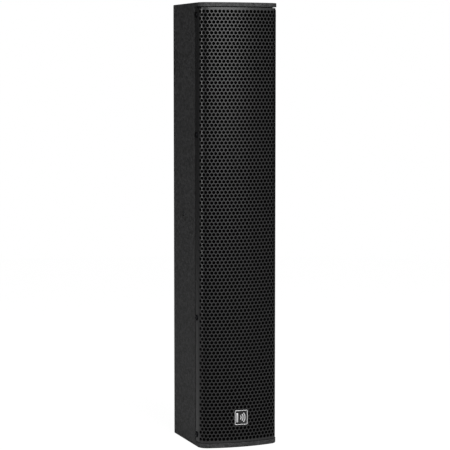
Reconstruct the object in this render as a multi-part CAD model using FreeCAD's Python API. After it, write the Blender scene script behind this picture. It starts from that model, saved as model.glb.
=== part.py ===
import FreeCAD, Part
import math
import os
from FreeCAD import Vector

# Column loudspeaker for public address: a slim plywood cabinet with a curved perforated steel
# front, four cone drivers round a horn, and a recessed connector dish in the back.
# Frame: X across, Y front (-) to back (+), Z up. Origin under the middle of the whole box.
# All lengths in millimetres. "Depth" values are measured back from the foremost line of the lips.

os.makedirs("parts", exist_ok=True)

# ---------------------------------------------------------------- driving dimensions
HEIGHT = 737.7
WIDTH = 137.9
DEPTH = 149.2
NOSE_RADIUS = 226.6            # plan radius of the curved front, at the lips
CORNER_RADIUS = 16.9           # plan radius where the front turns into the sides, at the lips
PANEL = 12.0                   # plywood of the cabinet
EDGE_ROUND = 1.5               # rounding of the upright back edges
RIM_ROUND = 1.2                # rounding of the top and bottom rims
TOP_LIP = 6.5                  # height of the top panel's lip in front of the grille
BOTTOM_LIP = 8.0
TOP_GAP = 1.8                  # between the top lip and the upper end of the grille
BOTTOM_GAP = 0.8
LIP_REBATE = 9.0               # how far the panels are cut back behind the lips

GRILLE_SETBACK = 0.7           # the lips stand proud of the grille by this
GRILLE_SHEET = 1.2
GRILLE_FLANGE_GAP = 1.5        # between the side flanges of the grille and the side panels
GRILLE_NOTCH_HEIGHT = 2.6      # relief at the upper corners of the grille
GRILLE_NOTCH_WIDTH = 3.6
FOAM = 5.0
BAFFLE = 15.0
BAFFLE_REACH = 1.26            # the baffle's face is this far in front of where the corners end
CLEARANCE = 0.3                # between parts that are only screwed together
PAST = 1.0                     # how far a cutter runs past what it cuts

BADGE_WIDTH = 22.4
BADGE_HEIGHT = 24.5
BADGE_Z = 49.9                 # middle of the badge above the floor

GRILLE_SCREW_HEAD = 5.0        # head radius
GRILLE_SCREW_PROUD = 2.2
GRILLE_SCREW_ROUND = 1.3
GRILLE_SCREW_SHANK = 2.0
GRILLE_SCREW_LENGTH = 20.0     # depth of its pilot hole in the baffle
DRIVE_RADIUS = 1.6             # recess for the driver bit
DRIVE_DEPTH = 1.2
GRILLE_SCREW_END = 20.7        # outer screws, from the top and bottom of the cabinet
GRILLE_SCREW_INNER = 217.2     # inner screws, from the top and bottom of the cabinet

WOOFER_FLANGE = 104.0          # side of the square flange
WOOFER_FLANGE_THICK = 3.0
WOOFER_FLANGE_CORNER = 14.0
WOOFER_SCREW_OFFSET = 42.0     # screws, across and up from the driver axis
WOOFER_CUTOUT = 46.8           # radius of the hole in the baffle
WOOFER_CLEARANCE = 0.5
CONE_RADIUS = 41.0
CONE_DEPTH = 24.5
PAPER = 0.9
DUST_CAP_MARGIN = 2.4          # rim of the dust cap outside the former
DUST_CAP_RISE = 6.0
DUST_CAP_WALL = 0.8
BASKET_DEPTH = 36.0
BASKET_WALL = 2.8
BASKET_NECK = 2.5              # straight part behind the face of the baffle
BASKET_FOOT = 10.0             # straight part in front of the magnet
BASKET_FOOT_WALL = 2.5
BASKET_BASE = 3.0
BASKET_BASE_MARGIN = 1.0       # hole in the base outside the magnet gap
BASKET_WINDOW = 40.0
WINDOW_FRONT = 5.0             # the windows start this far behind the face of the baffle
WINDOW_BACK = 12.0             # and end this far in front of the magnet
LEDGE_WIDTH = 3.0              # ledge that the spider is glued on
LEDGE_HEIGHT = 7.0
COIL_RADIUS = 12.7             # inside of the voice coil former
FORMER_WALL = 0.3
WINDING_WALL = 0.5
COIL_GAP = 0.5                 # radial gap each side of the voice coil
FORMER_FRONT = 2.0             # the former reaches this far in front of the neck of the cone
FORMER_TAIL = 7.0              # and this far behind the middle of the front plate
WINDING = 10.0
WOOFER_PLATE = 5.0
WOOFER_MAGNET_RADIUS = 35.0
WOOFER_MAGNET = 14.0
PLATE_INSET = 2.0              # the steel plates are smaller than the magnet by this, all round
MAGNET_BORE_MARGIN = 3.0       # bore of the magnet outside the magnet gap
POLE_VENT = 4.0
SURROUND_WALL = 0.6
SURROUND_ROLL = 2.8            # height of the half roll over the flange
SURROUND_MARGIN = 1.0          # between its rim and the edge of the flange
SPIDER_WALL = 0.6
SPIDER_COLLAR = 1.0
SPIDER_PLAY = 0.1
SPIDER_WAVES = 4
SPIDER_SWING = 1.1
GASKET = 1.4
GASKET_MARGIN = 0.5            # between its rim and the edge of the flange
GASKET_INNER_MARGIN = 0.8      # outside the cut-out
GLUE_GAP = 0.05                # between a moving cone and its suspension

HORN_WIDTH = 104.0
HORN_HEIGHT = 118.0
HORN_FLANGE = 3.0
HORN_MARGIN = 6.0              # flange outside the mouth
HORN_WALL = 2.5
HORN_CORNER = 4.0
HORN_LENGTH = 34.0
HORN_SCREW_INSET = 4.0
HORN_NECK = 4.0                # thickness of the round seat of the compression driver
HORN_NECK_INSET = 4.0          # it is smaller than the driver by this, all round
FLARE_POWER = 1.7
FLARE_SECTIONS = 4
THROAT = 12.5                  # half width of the throat
HF_RADIUS = 36.0
HF_MAGNET = 16.0
HF_COIL_RADIUS = 17.8
HF_GROOVE = 6.0                # depth of the coil groove
HF_FORMER_REACH = 4.0          # the former reaches this far into it
DIAPHRAGM_FOIL = 0.3
DIAPHRAGM_LIFT = 1.5           # over the back of the magnet
DIAPHRAGM_RIM = 3.0
DIAPHRAGM_RISE = 5.0
HF_COVER = 16.0
HF_COVER_WALL = 2.0
HF_COVER_INSET = 2.0

PORT_RADIUS = 18.0
PORT_WALL = 2.0
PORT_FLANGE_RADIUS = 25.0
PORT_FLANGE = 3.0              # also the radius of the rounded mouth
PORT_LENGTH = 62.0
PORT_SCREW_INSET = 2.3
PORT_SCREW_HEAD = 2.0
PORT_SCREW_HEAD_THICK = 1.2
PORT_SCREW_LENGTH = 12.0

WOOD_SCREW_HEAD = 4.0
WOOD_SCREW_HEAD_THICK = 2.0
WOOD_SCREW_HEAD_ROUND = 0.8
WOOD_SCREW_SHANK = 1.6
WOOD_SCREW_LENGTH = 16.0
SCREW_CLEARANCE = 0.3
SCREW_SPARE = 0.5              # pilot holes are deeper than their screws by this
PILOT_FLOOR = 2.0              # wood left under a blind pilot hole

SIDE_INSERT_Z = 386.8
SIDE_INSERT_DEPTH = 96.5
SIDE_INSERT_BORE = 4.0
SIDE_INSERT_BARREL = 5.5
REAR_INSERT_BORE = 3.0
REAR_INSERT_BARREL = 4.4
REAR_INSERT_SPACING_X = 60.0
REAR_INSERT_SPACING_Z = 90.0
INSERT_SETBACK = 2.0           # end of the insert under the painted surface
INSERT_FLANGE = 1.5
INSERT_FLANGE_EXTRA = 4.5      # flange radius beyond the barrel
INSERT_CLEARANCE = 0.1

BRACE = 9.0
BRACE_RIM = 22.0

DISH_WIDTH = 92.0
DISH_HEIGHT = 122.0
DISH_Z = 132.0
DISH_FLANGE = 1.5
DISH_FLANGE_WIDTH = 9.0
DISH_RECESS = 16.0
DISH_WALL = 2.0
DISH_SETBACK = 0.4             # outer face of the dish under the back of the cabinet
DISH_CORNER = 6.0
GASKET_DISH = 0.8
SOCKET_SPACING = 42.0
SOCKET_WIDTH = 26.0
SOCKET_HEIGHT = 31.0
SOCKET_FLANGE = 2.5
SOCKET_BARREL = 12.0
SOCKET_BORE = 8.8
SOCKET_CORNER = 3.0
SOCKET_CORE = 5.3
SOCKET_CORE_SETBACK = 1.0      # under the face of the flange
SOCKET_BACK = 21.0             # length behind the flange
SOCKET_FLOOR = 3.0
SOCKET_KEY_WIDTH = 2.4
SOCKET_KEY_HEIGHT = 1.5
SOCKET_SCREW_X = 9.5
SOCKET_SCREW_Z = 12.0
SOCKET_SCREW_HEAD = 2.6
SOCKET_SCREW_LENGTH = 9.0
SMALL_SCREW_HEAD = 3.0
SMALL_SCREW_HEAD_THICK = 1.6
SMALL_SCREW_SHANK = 1.5

BOARD_WIDTH = 92.0
BOARD_HEIGHT = 92.0
BOARD_Z = 248.0
BOARD = 1.6
STANDOFF = 8.0
STANDOFF_RADIUS = 3.5
BOARD_HOLE_INSET = 6.0
BOARD_SCREW_GRIP = 6.0         # in the rear panel
INDUCTORS = [(-20.0, 18.0, 17.0, 16.0), (24.0, -20.0, 11.0, 10.0)]
# Each inductor: x and z from the middle of the board, radius, width.
INDUCTOR_BORE = 0.45           # as a share of its radius
CAPACITORS = [(-24.0, -20.0, 9.0, 34.0), (2.0, -22.0, 6.0, 28.0)]
# Each capacitor: x and z from the middle of the board, radius, length.
CAPACITOR_LIFT = 0.2
RESISTOR_X = 22.0              # from the middle of the board
RESISTOR_Z = 16.0
RESISTOR_WIDTH = 10.0
RESISTOR_THICK = 9.0
RESISTOR_LENGTH = 48.0
WADDING = 28.0
WADDING_MARGIN = 6.0

# ---------------------------------------------------------------- worked out from these
FRONT = -DEPTH / 2.0
BACK = DEPTH / 2.0
CORNER_X = WIDTH / 2.0 - CORNER_RADIUS                 # centre of the corner's plan radius
CORNER_DEPTH = NOSE_RADIUS - math.sqrt((NOSE_RADIUS - CORNER_RADIUS) ** 2 - CORNER_X ** 2)
BAFFLE_DEPTH = CORNER_DEPTH - BAFFLE_REACH             # depth of the front face of the baffle
SIDE_FRONT = BAFFLE_DEPTH + BAFFLE                     # depth of the front edge of the side panels
GRILLE_FLANGE_END = SIDE_FRONT - GRILLE_FLANGE_GAP     # depth at which the grille's flanges end
INNER_WIDTH = WIDTH - 2.0 * PANEL
INNER_BACK = DEPTH - PANEL                             # depth of the inner face of the rear panel
INNER_LOW = PANEL
INNER_HIGH = HEIGHT - PANEL
GRILLE_LOW = BOTTOM_LIP + BOTTOM_GAP
GRILLE_HIGH = HEIGHT - TOP_LIP - TOP_GAP
GRILLE_SIDE = WIDTH / 2.0 - GRILLE_SETBACK             # half width over the grille flanges
GRILLE_INNER = GRILLE_SIDE - GRILLE_SHEET
BAFFLE_HALF = GRILLE_INNER - CLEARANCE
SCREW_DEPTH = BAFFLE_DEPTH + BAFFLE / 2.0
FORMER_OUTER = COIL_RADIUS + FORMER_WALL
WINDING_OUTER = FORMER_OUTER + WINDING_WALL
POLE_RADIUS = COIL_RADIUS - COIL_GAP
GAP_OUTER = WINDING_OUTER + COIL_GAP
GAP_MIDDLE = BAFFLE_DEPTH + BASKET_DEPTH + WOOFER_PLATE / 2.0
DISH_FACE = DEPTH - DISH_SETBACK
DISH_FLOOR = DISH_FACE - DISH_RECESS                   # depth of the floor the sockets sit on
BOARD_FACE = INNER_BACK - STANDOFF - BOARD             # depth of the component side of the board
PORT_SCREW_X = PORT_FLANGE_RADIUS - PORT_SCREW_INSET
DISH_SCREW_END = INNER_BACK + PILOT_FLOOR + SCREW_SPARE

# The front holds, from the bottom: port, two cone drivers, horn, two cone drivers, port.
STACK = [2 * PORT_FLANGE_RADIUS, WOOFER_FLANGE, WOOFER_FLANGE, HORN_HEIGHT,
         WOOFER_FLANGE, WOOFER_FLANGE, 2 * PORT_FLANGE_RADIUS]
STACK_GAP = (INNER_HIGH - INNER_LOW - sum(STACK)) / (len(STACK) + 1)
STACK_Z = []
reach = INNER_LOW
for size in STACK:
    reach += STACK_GAP
    STACK_Z.append(reach + size / 2.0)
    reach += size
PORT_Z = {"lower": STACK_Z[0], "upper": STACK_Z[6]}
WOOFER_Z = {1: STACK_Z[1], 2: STACK_Z[2], 3: STACK_Z[4], 4: STACK_Z[5]}
HORN_Z = STACK_Z[3]
BRACE_Z = {"lower": HORN_Z - (HORN_HEIGHT + STACK_GAP) / 2.0,
           "upper": HORN_Z + (HORN_HEIGHT + STACK_GAP) / 2.0}


# ---------------------------------------------------------------- helpers
def save(name, shape):
    """Write one node."""
    shape.exportStep("parts/" + name + ".step")


def block(x0, x1, d0, d1, z0, z1):
    """A box between two X values, two depths and two heights."""
    return Part.makeBox(x1 - x0, d1 - d0, z1 - z0, Vector(x0, FRONT + d0, z0))


def rod(radius, depth, length, x, z):
    """A cylinder that runs back from a depth."""
    return Part.makeCylinder(radius, length, Vector(x, FRONT + depth, z), Vector(0, 1, 0))


def rod_across(radius, x, length, depth, z, side):
    """A cylinder that runs outward (side +1 or -1) from x, which is given for the right side."""
    return Part.makeCylinder(radius, length, Vector(side * x, FRONT + depth, z), Vector(side, 0, 0))


def turned(outline, z):
    """Turn a closed outline of (radius, depth) points about a driver axis. A triple gives an
    arc's middle point first: (radius, depth, "via")."""
    points = [(Vector(p[0], FRONT + p[1], z), len(p) == 3) for p in outline]
    edges = []
    start = points[0][0]
    via = None
    for place, is_via in points[1:] + points[:1]:
        if is_via:
            via = place
            continue
        if via is None:
            edges.append(Part.makeLine(start, place))
        else:
            edges.append(Part.Arc(start, via, place).toShape())
        start = place
        via = None
    face = Part.Face(Part.Wire(edges))
    return face.revolve(Vector(0, 0, z), Vector(0, 1, 0), 360)


def dome_middle(rim_radius, rim_depth, top_depth):
    """Middle point of an arc that is centred on the axis and runs from its top to its rim."""
    rise = rim_depth - top_depth
    radius = (rim_radius ** 2 + rise ** 2) / (2.0 * abs(rise))
    drop = radius - math.sqrt(radius ** 2 - rim_radius ** 2 / 4.0)
    return rim_radius / 2.0, top_depth + math.copysign(drop, rise), "via"


def front_plan(inset, back_depth):
    """Plan outline of the cabinet, moved inward by inset and closed by a straight line at a depth."""
    half = WIDTH / 2.0 - inset
    corner = CORNER_RADIUS - inset
    corner_y = FRONT + CORNER_DEPTH
    lean = math.asin(CORNER_X / (NOSE_RADIUS - CORNER_RADIUS))
    meet = Vector(CORNER_X + corner * math.sin(lean), corner_y - corner * math.cos(lean), 0)
    bend = math.pi / 4.0 + lean / 2.0
    middle = Vector(CORNER_X + corner * math.sin(bend), corner_y - corner * math.cos(bend), 0)
    side = Vector(half, corner_y, 0)
    rear = Vector(half, FRONT + back_depth, 0)
    nose = Vector(0, FRONT + inset, 0)

    def mirrored(point):
        return Vector(-point.x, point.y, 0)

    edges = [
        Part.Arc(mirrored(meet), nose, meet).toShape(),
        Part.Arc(meet, middle, side).toShape(),
        Part.makeLine(side, rear),
        Part.makeLine(rear, mirrored(rear)),
        Part.makeLine(mirrored(rear), mirrored(side)),
        Part.Arc(mirrored(side), mirrored(middle), mirrored(meet)).toShape(),
    ]
    return Part.Face(Part.Wire(edges))


def plan_solid(inset, back_depth, z0, z1):
    """The plan outline raised between two heights."""
    solid = front_plan(inset, back_depth).extrude(Vector(0, 0, z1 - z0))
    solid.translate(Vector(0, 0, z0))
    return solid


def edges_where(shape, test):
    """Edges all of whose ends pass a test on the point."""
    return [e for e in shape.Edges if all(test(v.Point) for v in e.Vertexes)]


def near(a, b):
    return abs(a - b) < 1e-4


def depth_edges(body):
    """The edges of a block that run from front to back."""
    return [e for e in body.Edges if not near(e.Vertexes[0].Y, e.Vertexes[1].Y)]


def rounded_block(width, height, z, d0, d1, radius):
    """A block in the middle of the width whose four edges from front to back are rounded."""
    body = block(-width / 2.0, width / 2.0, d0, d1, z - height / 2.0, z + height / 2.0)
    return body.makeFillet(radius, depth_edges(body))


def pan_screw_back(x, z, face_depth, length):
    """A pan-head wood screw driven back from the face at a depth."""
    head = rod(WOOD_SCREW_HEAD, face_depth - WOOD_SCREW_HEAD_THICK, WOOD_SCREW_HEAD_THICK, x, z)
    crown = edges_where(head, lambda p: near(p.y, FRONT + face_depth - WOOD_SCREW_HEAD_THICK))
    head = head.makeFillet(WOOD_SCREW_HEAD_ROUND, crown)
    shank = rod(WOOD_SCREW_SHANK, face_depth, length, x, z)
    return head.fuse(shank).removeSplitter()


# ---------------------------------------------------------------- cabinet
def make_end_panel(top):
    """Top or bottom panel: full depth, with a lip over the grille and a rebate behind the lip."""
    low = HEIGHT - PANEL if top else 0.0
    panel = plan_solid(0.0, DEPTH, low, low + PANEL)
    outer_z = HEIGHT if top else 0.0
    corners = edges_where(panel, lambda p: near(p.y, BACK))
    corners = [e for e in corners if near(e.Vertexes[0].X, e.Vertexes[1].X)]
    panel = panel.makeFillet(EDGE_ROUND, corners)
    rim = edges_where(panel, lambda p: near(p.z, outer_z))
    panel = panel.makeFillet(RIM_ROUND, rim)
    inner_low = low if top else BOTTOM_LIP
    inner_high = HEIGHT - TOP_LIP if top else PANEL
    keep = plan_solid(LIP_REBATE, DEPTH, inner_low, inner_high)
    slab = block(-WIDTH, WIDTH, -PAST, SIDE_FRONT, inner_low, inner_high)
    return panel.cut(slab.cut(keep))


def make_side_panel(side):
    """Side panel, glued between the end panels and behind the baffle."""
    inner, outer = sorted((side * (WIDTH / 2.0 - PANEL), side * WIDTH / 2.0))
    panel = block(inner, outer, SIDE_FRONT, DEPTH, INNER_LOW, INNER_HIGH)
    edge = edges_where(panel, lambda p: near(p.y, BACK) and near(p.x, side * WIDTH / 2.0))
    panel = panel.makeFillet(EDGE_ROUND, edge)
    barrel = SIDE_INSERT_BARREL + INSERT_CLEARANCE
    hole = rod_across(barrel, INNER_WIDTH / 2.0 - PAST, PANEL + 2 * PAST, SIDE_INSERT_DEPTH,
                      SIDE_INSERT_Z, side)
    return panel.cut(hole)


def make_rear_panel():
    """Rear panel between the sides, cut out for the connector dish and drilled for inserts."""
    half = INNER_WIDTH / 2.0
    panel = block(-half, half, INNER_BACK, DEPTH, INNER_LOW, INNER_HIGH)
    rebate = rounded_block(DISH_WIDTH + 2 * CLEARANCE, DISH_HEIGHT + 2 * CLEARANCE, DISH_Z,
                           DISH_FACE - DISH_FLANGE - GASKET_DISH, DEPTH + PAST, DISH_CORNER)
    body_width = DISH_WIDTH - 2 * DISH_FLANGE_WIDTH + 2 * CLEARANCE
    body_height = DISH_HEIGHT - 2 * DISH_FLANGE_WIDTH + 2 * CLEARANCE
    through = rounded_block(body_width, body_height, DISH_Z, INNER_BACK - PAST, DEPTH + PAST, DISH_CORNER)
    panel = panel.cut(rebate).cut(through)
    for x, z in rear_insert_places():
        panel = panel.cut(rod(REAR_INSERT_BARREL + INSERT_CLEARANCE, INNER_BACK - PAST,
                              PANEL + 2 * PAST, x, z))
    for x, z in dish_screw_places():
        panel = panel.cut(rod(SMALL_SCREW_SHANK, INNER_BACK + PILOT_FLOOR, PANEL, x, z))
    for x, z in board_hole_places():
        panel = panel.cut(rod(SMALL_SCREW_SHANK, INNER_BACK - PAST,
                              PAST + BOARD_SCREW_GRIP + SCREW_SPARE, x, z))
    return panel


def make_baffle():
    """Front baffle: carries the drivers, the horn and the ports, and takes the grille screws."""
    panel = block(-BAFFLE_HALF, BAFFLE_HALF, BAFFLE_DEPTH, SIDE_FRONT, INNER_LOW, INNER_HIGH)
    start = BAFFLE_DEPTH - PAST
    length = BAFFLE + 2 * PAST
    for z in WOOFER_Z.values():
        panel = panel.cut(rod(WOOFER_CUTOUT, start, length, 0, z))
    for z in PORT_Z.values():
        panel = panel.cut(rod(PORT_RADIUS + PORT_WALL + CLEARANCE, start, length, 0, z))
    half_x = HORN_WIDTH / 2.0 - HORN_MARGIN + HORN_WALL + CLEARANCE
    half_z = HORN_HEIGHT / 2.0 - HORN_MARGIN + HORN_WALL + CLEARANCE
    panel = panel.cut(block(-half_x, half_x, start, start + length, HORN_Z - half_z, HORN_Z + half_z))
    for x, z in woofer_screw_places() + horn_screw_places() + port_screw_places():
        panel = panel.cut(rod(WOOD_SCREW_SHANK, start, length, x, z))
    for side in (-1, 1):
        for z in grille_screw_heights():
            inner = BAFFLE_HALF - GRILLE_SCREW_LENGTH
            panel = panel.cut(rod_across(GRILLE_SCREW_SHANK, inner, GRILLE_SCREW_LENGTH + PAST,
                                         SCREW_DEPTH, z, side))
    return panel


def make_brace(z):
    """Window brace that ties the baffle, the sides and the rear panel together."""
    half = INNER_WIDTH / 2.0
    low = z - BRACE / 2.0
    brace = block(-half, half, SIDE_FRONT, INNER_BACK, low, low + BRACE)
    window = block(-half + BRACE_RIM, half - BRACE_RIM, SIDE_FRONT + BRACE_RIM, INNER_BACK - BRACE_RIM,
                   low - PAST, low + BRACE + PAST)
    upright = [e for e in window.Edges if not near(e.Vertexes[0].Z, e.Vertexes[1].Z)]
    return brace.cut(window.makeFillet(BRACE_RIM / 2.0, upright))


# ---------------------------------------------------------------- grille and its trim
def grille_screw_heights():
    return [GRILLE_SCREW_END, GRILLE_SCREW_INNER, HEIGHT - GRILLE_SCREW_INNER, HEIGHT - GRILLE_SCREW_END]


def make_grille():
    """Bent steel grille with side flanges. The hexagonal perforation isn't cut here."""
    outer = plan_solid(GRILLE_SETBACK, GRILLE_FLANGE_END, GRILLE_LOW, GRILLE_HIGH)
    inner = plan_solid(GRILLE_SETBACK + GRILLE_SHEET, GRILLE_FLANGE_END + PAST, GRILLE_LOW - PAST,
                       GRILLE_HIGH + PAST)
    grille = outer.cut(inner)
    for side in (-1, 1):
        x0, x1 = sorted((side * (GRILLE_SIDE - GRILLE_NOTCH_WIDTH), side * WIDTH))
        grille = grille.cut(block(x0, x1, -PAST, DEPTH, GRILLE_HIGH - GRILLE_NOTCH_HEIGHT, HEIGHT))
        for z in grille_screw_heights():
            hole = rod_across(GRILLE_SCREW_SHANK + SCREW_CLEARANCE, GRILLE_INNER - PAST,
                              GRILLE_SHEET + 2 * PAST, SCREW_DEPTH, z, side)
            grille = grille.cut(hole)
    return grille


def make_foam():
    """Open-cell foam behind the grille, from one side of the baffle to the other."""
    front = GRILLE_SETBACK + GRILLE_SHEET
    low = INNER_LOW + CLEARANCE
    high = INNER_HIGH - CLEARANCE
    foam = plan_solid(front, DEPTH, low, high)
    foam = foam.cut(plan_solid(front + FOAM, DEPTH + PAST, low - PAST, high + PAST))
    return foam.cut(block(-WIDTH, WIDTH, BAFFLE_DEPTH, DEPTH + 2 * PAST, low - PAST, high + PAST))


def make_badge():
    """Thin metal badge that follows the curve of the grille."""
    low = BADGE_Z - BADGE_HEIGHT / 2.0
    high = low + BADGE_HEIGHT
    shell = plan_solid(0.0, DEPTH, low, high)
    shell = shell.cut(plan_solid(GRILLE_SETBACK, DEPTH + PAST, low - PAST, high + PAST))
    return shell.common(block(-BADGE_WIDTH / 2.0, BADGE_WIDTH / 2.0, -PAST, BAFFLE_DEPTH, low, high))


def make_grille_screws():
    """Pan-head screws through the flanges of the grille into the edges of the baffle."""
    screws = []
    crown_x = GRILLE_SIDE + GRILLE_SCREW_PROUD
    tip_x = BAFFLE_HALF - GRILLE_SCREW_LENGTH + SCREW_SPARE
    for side in (-1, 1):
        for z in grille_screw_heights():
            head = rod_across(GRILLE_SCREW_HEAD, GRILLE_SIDE, GRILLE_SCREW_PROUD, SCREW_DEPTH, z, side)
            crown = edges_where(head, lambda p: near(abs(p.x), crown_x))
            head = head.makeFillet(GRILLE_SCREW_ROUND, crown)
            drive = rod_across(DRIVE_RADIUS, crown_x - DRIVE_DEPTH, DRIVE_DEPTH, SCREW_DEPTH, z, side)
            shank = rod_across(GRILLE_SCREW_SHANK, tip_x, GRILLE_SIDE - tip_x, SCREW_DEPTH, z, side)
            screws.append(head.cut(drive).fuse(shank).removeSplitter())
    return Part.makeCompound(screws)


# ---------------------------------------------------------------- cone drivers
def woofer_screw_places():
    return [(sx * WOOFER_SCREW_OFFSET, z + sz * WOOFER_SCREW_OFFSET)
            for z in WOOFER_Z.values() for sx in (-1, 1) for sz in (-1, 1)]


def cone_line(radius):
    """Depth behind the baffle face of the front of the cone at a radius."""
    slope = CONE_DEPTH / (CONE_RADIUS - FORMER_OUTER)
    return -PAPER / 2.0 + (CONE_RADIUS - radius) * slope


def make_basket(z):
    """Cast frame with a square flange, four windows and a ledge for the spider."""
    face = BAFFLE_DEPTH
    flange_face = face - WOOFER_FLANGE_THICK
    rim = WOOFER_CUTOUT - WOOFER_CLEARANCE
    throat = rim - BASKET_WALL
    outer = WOOFER_MAGNET_RADIUS
    inner = outer - BASKET_FOOT_WALL
    bore = GAP_OUTER + BASKET_BASE_MARGIN
    end = face + BASKET_DEPTH
    shell = turned([(throat, flange_face), (rim, flange_face), (rim, face + BASKET_NECK),
                    (outer, end - BASKET_FOOT), (outer, end), (bore, end), (bore, end - BASKET_BASE),
                    (inner - LEDGE_WIDTH, end - BASKET_BASE), (inner - LEDGE_WIDTH, end - LEDGE_HEIGHT),
                    (inner, end - LEDGE_HEIGHT), (inner, end - BASKET_FOOT),
                    (throat, face + BASKET_NECK)], z)
    low = face + WINDOW_FRONT
    high = end - WINDOW_BACK
    half = BASKET_WINDOW / 2.0
    span = WOOFER_CUTOUT + PAST
    shell = shell.cut(block(-span, span, low, high, z - half, z + half))
    shell = shell.cut(block(-half, half, low, high, z - span, z + span))
    flange = rounded_block(WOOFER_FLANGE, WOOFER_FLANGE, z, flange_face, face, WOOFER_FLANGE_CORNER)
    depth = WOOFER_FLANGE_THICK + 2 * PAST
    flange = flange.cut(rod(throat, flange_face - PAST, depth, 0, z))
    for sx in (-1, 1):
        for sz in (-1, 1):
            flange = flange.cut(rod(WOOD_SCREW_SHANK + SCREW_CLEARANCE, flange_face - PAST, depth,
                                    sx * WOOFER_SCREW_OFFSET, z + sz * WOOFER_SCREW_OFFSET))
    return flange.fuse(shell).removeSplitter()


def make_woofer_magnet(z):
    """Front plate, ferrite ring, and back plate with its vented pole, as three solids."""
    start = BAFFLE_DEPTH + BASKET_DEPTH
    magnet_at = start + WOOFER_PLATE
    back_at = magnet_at + WOOFER_MAGNET
    end = back_at + WOOFER_PLATE
    steel = WOOFER_MAGNET_RADIUS - PLATE_INSET
    bore = GAP_OUTER + MAGNET_BORE_MARGIN
    plate = turned([(GAP_OUTER, start), (steel, start), (steel, magnet_at), (GAP_OUTER, magnet_at)], z)
    ring = turned([(bore, magnet_at), (WOOFER_MAGNET_RADIUS, magnet_at),
                   (WOOFER_MAGNET_RADIUS, back_at), (bore, back_at)], z)
    pole = turned([(POLE_VENT, start), (POLE_RADIUS, start), (POLE_RADIUS, back_at), (steel, back_at),
                   (steel, end), (POLE_VENT, end)], z)
    return Part.makeCompound([plate, ring, pole])


def make_cone(z):
    """Paper cone with its dust cap, as two solids."""
    face = BAFFLE_DEPTH
    rim = face + cone_line(CONE_RADIUS)
    neck = face + cone_line(FORMER_OUTER)
    cone = turned([(CONE_RADIUS, rim), (FORMER_OUTER, neck), (FORMER_OUTER, neck + PAPER),
                   (CONE_RADIUS, rim + PAPER)], z)
    cap_out = FORMER_OUTER + DUST_CAP_MARGIN
    cap_in = cap_out - DUST_CAP_WALL
    rim_out = face + cone_line(cap_out)
    rim_in = face + cone_line(cap_in)
    top_out = rim_out - DUST_CAP_RISE
    top_in = top_out + DUST_CAP_WALL
    cap = turned([(0.0, top_out), dome_middle(cap_out, rim_out, top_out), (cap_out, rim_out),
                  (cap_in, rim_in), dome_middle(cap_in, rim_in, top_in), (0.0, top_in)], z)
    return Part.makeCompound([cone, cap])


def make_voice_coil(z):
    """Former with its copper winding, as two solids."""
    start = BAFFLE_DEPTH + cone_line(FORMER_OUTER) - FORMER_FRONT
    end = GAP_MIDDLE + FORMER_TAIL
    former = turned([(COIL_RADIUS, start), (FORMER_OUTER, start), (FORMER_OUTER, end), (COIL_RADIUS, end)], z)
    low = GAP_MIDDLE - WINDING / 2.0
    high = GAP_MIDDLE + WINDING / 2.0
    winding = turned([(FORMER_OUTER, low), (WINDING_OUTER, low), (WINDING_OUTER, high),
                      (FORMER_OUTER, high)], z)
    return Part.makeCompound([former, winding])


def make_surround(z):
    """Rubber half roll from the edge of the cone to the flange."""
    foot = BAFFLE_DEPTH - WOOFER_FLANGE_THICK
    face = foot - SURROUND_WALL
    inner = CONE_RADIUS + GLUE_GAP
    outer = WOOFER_CUTOUT
    middle = (inner + outer) / 2.0
    edge = BAFFLE_DEPTH + cone_line(CONE_RADIUS)
    crown = face - SURROUND_ROLL
    rim = WOOFER_FLANGE / 2.0 - SURROUND_MARGIN
    return turned([(inner, edge), (inner, face), (middle, crown, "via"), (outer, face), (rim, face),
                   (rim, foot), (outer - SURROUND_WALL, foot), (middle, crown + SURROUND_WALL, "via"),
                   (inner + SURROUND_WALL, foot), (inner + SURROUND_WALL, edge + PAPER),
                   (inner, edge + PAPER)], z)


def make_spider(z):
    """Corrugated centring disc between the former and the ledge of the basket."""
    seat = BAFFLE_DEPTH + BASKET_DEPTH - LEDGE_HEIGHT
    front_of = seat - SPIDER_WALL
    inner = FORMER_OUTER + GLUE_GAP
    collar = inner + SPIDER_COLLAR
    outer = WOOFER_MAGNET_RADIUS - BASKET_FOOT_WALL - SPIDER_PLAY
    step = (outer - LEDGE_WIDTH - collar) / SPIDER_WAVES
    front = [(inner, front_of), (collar, front_of)]
    back = [(collar, seat), (inner, seat)]
    for k in range(SPIDER_WAVES):
        start = collar + k * step
        swing = -SPIDER_SWING if k % 2 == 0 else SPIDER_SWING
        front += [(start + step / 2.0, front_of + swing, "via"), (start + step, front_of)]
        back = [(start + step, seat), (start + step / 2.0, seat + swing, "via")] + back
    front.append((outer, front_of))
    return turned(front + [(outer, seat)] + back, z)


def make_gasket(z):
    """Foam ring on the flange, in front of the edge of the surround."""
    start = BAFFLE_DEPTH - WOOFER_FLANGE_THICK - SURROUND_WALL - GASKET
    end = start + GASKET
    inner = WOOFER_CUTOUT + GASKET_INNER_MARGIN
    outer = WOOFER_FLANGE / 2.0 - GASKET_MARGIN
    return turned([(inner, start), (outer, start), (outer, end), (inner, end)], z)


# ---------------------------------------------------------------- horn and compression driver
def horn_screw_places():
    x = HORN_WIDTH / 2.0 - HORN_SCREW_INSET
    z = HORN_HEIGHT / 2.0 - HORN_SCREW_INSET
    return [(sx * x, HORN_Z + sz * z) for sx in (-1, 1) for sz in (-1, 1)]


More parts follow.
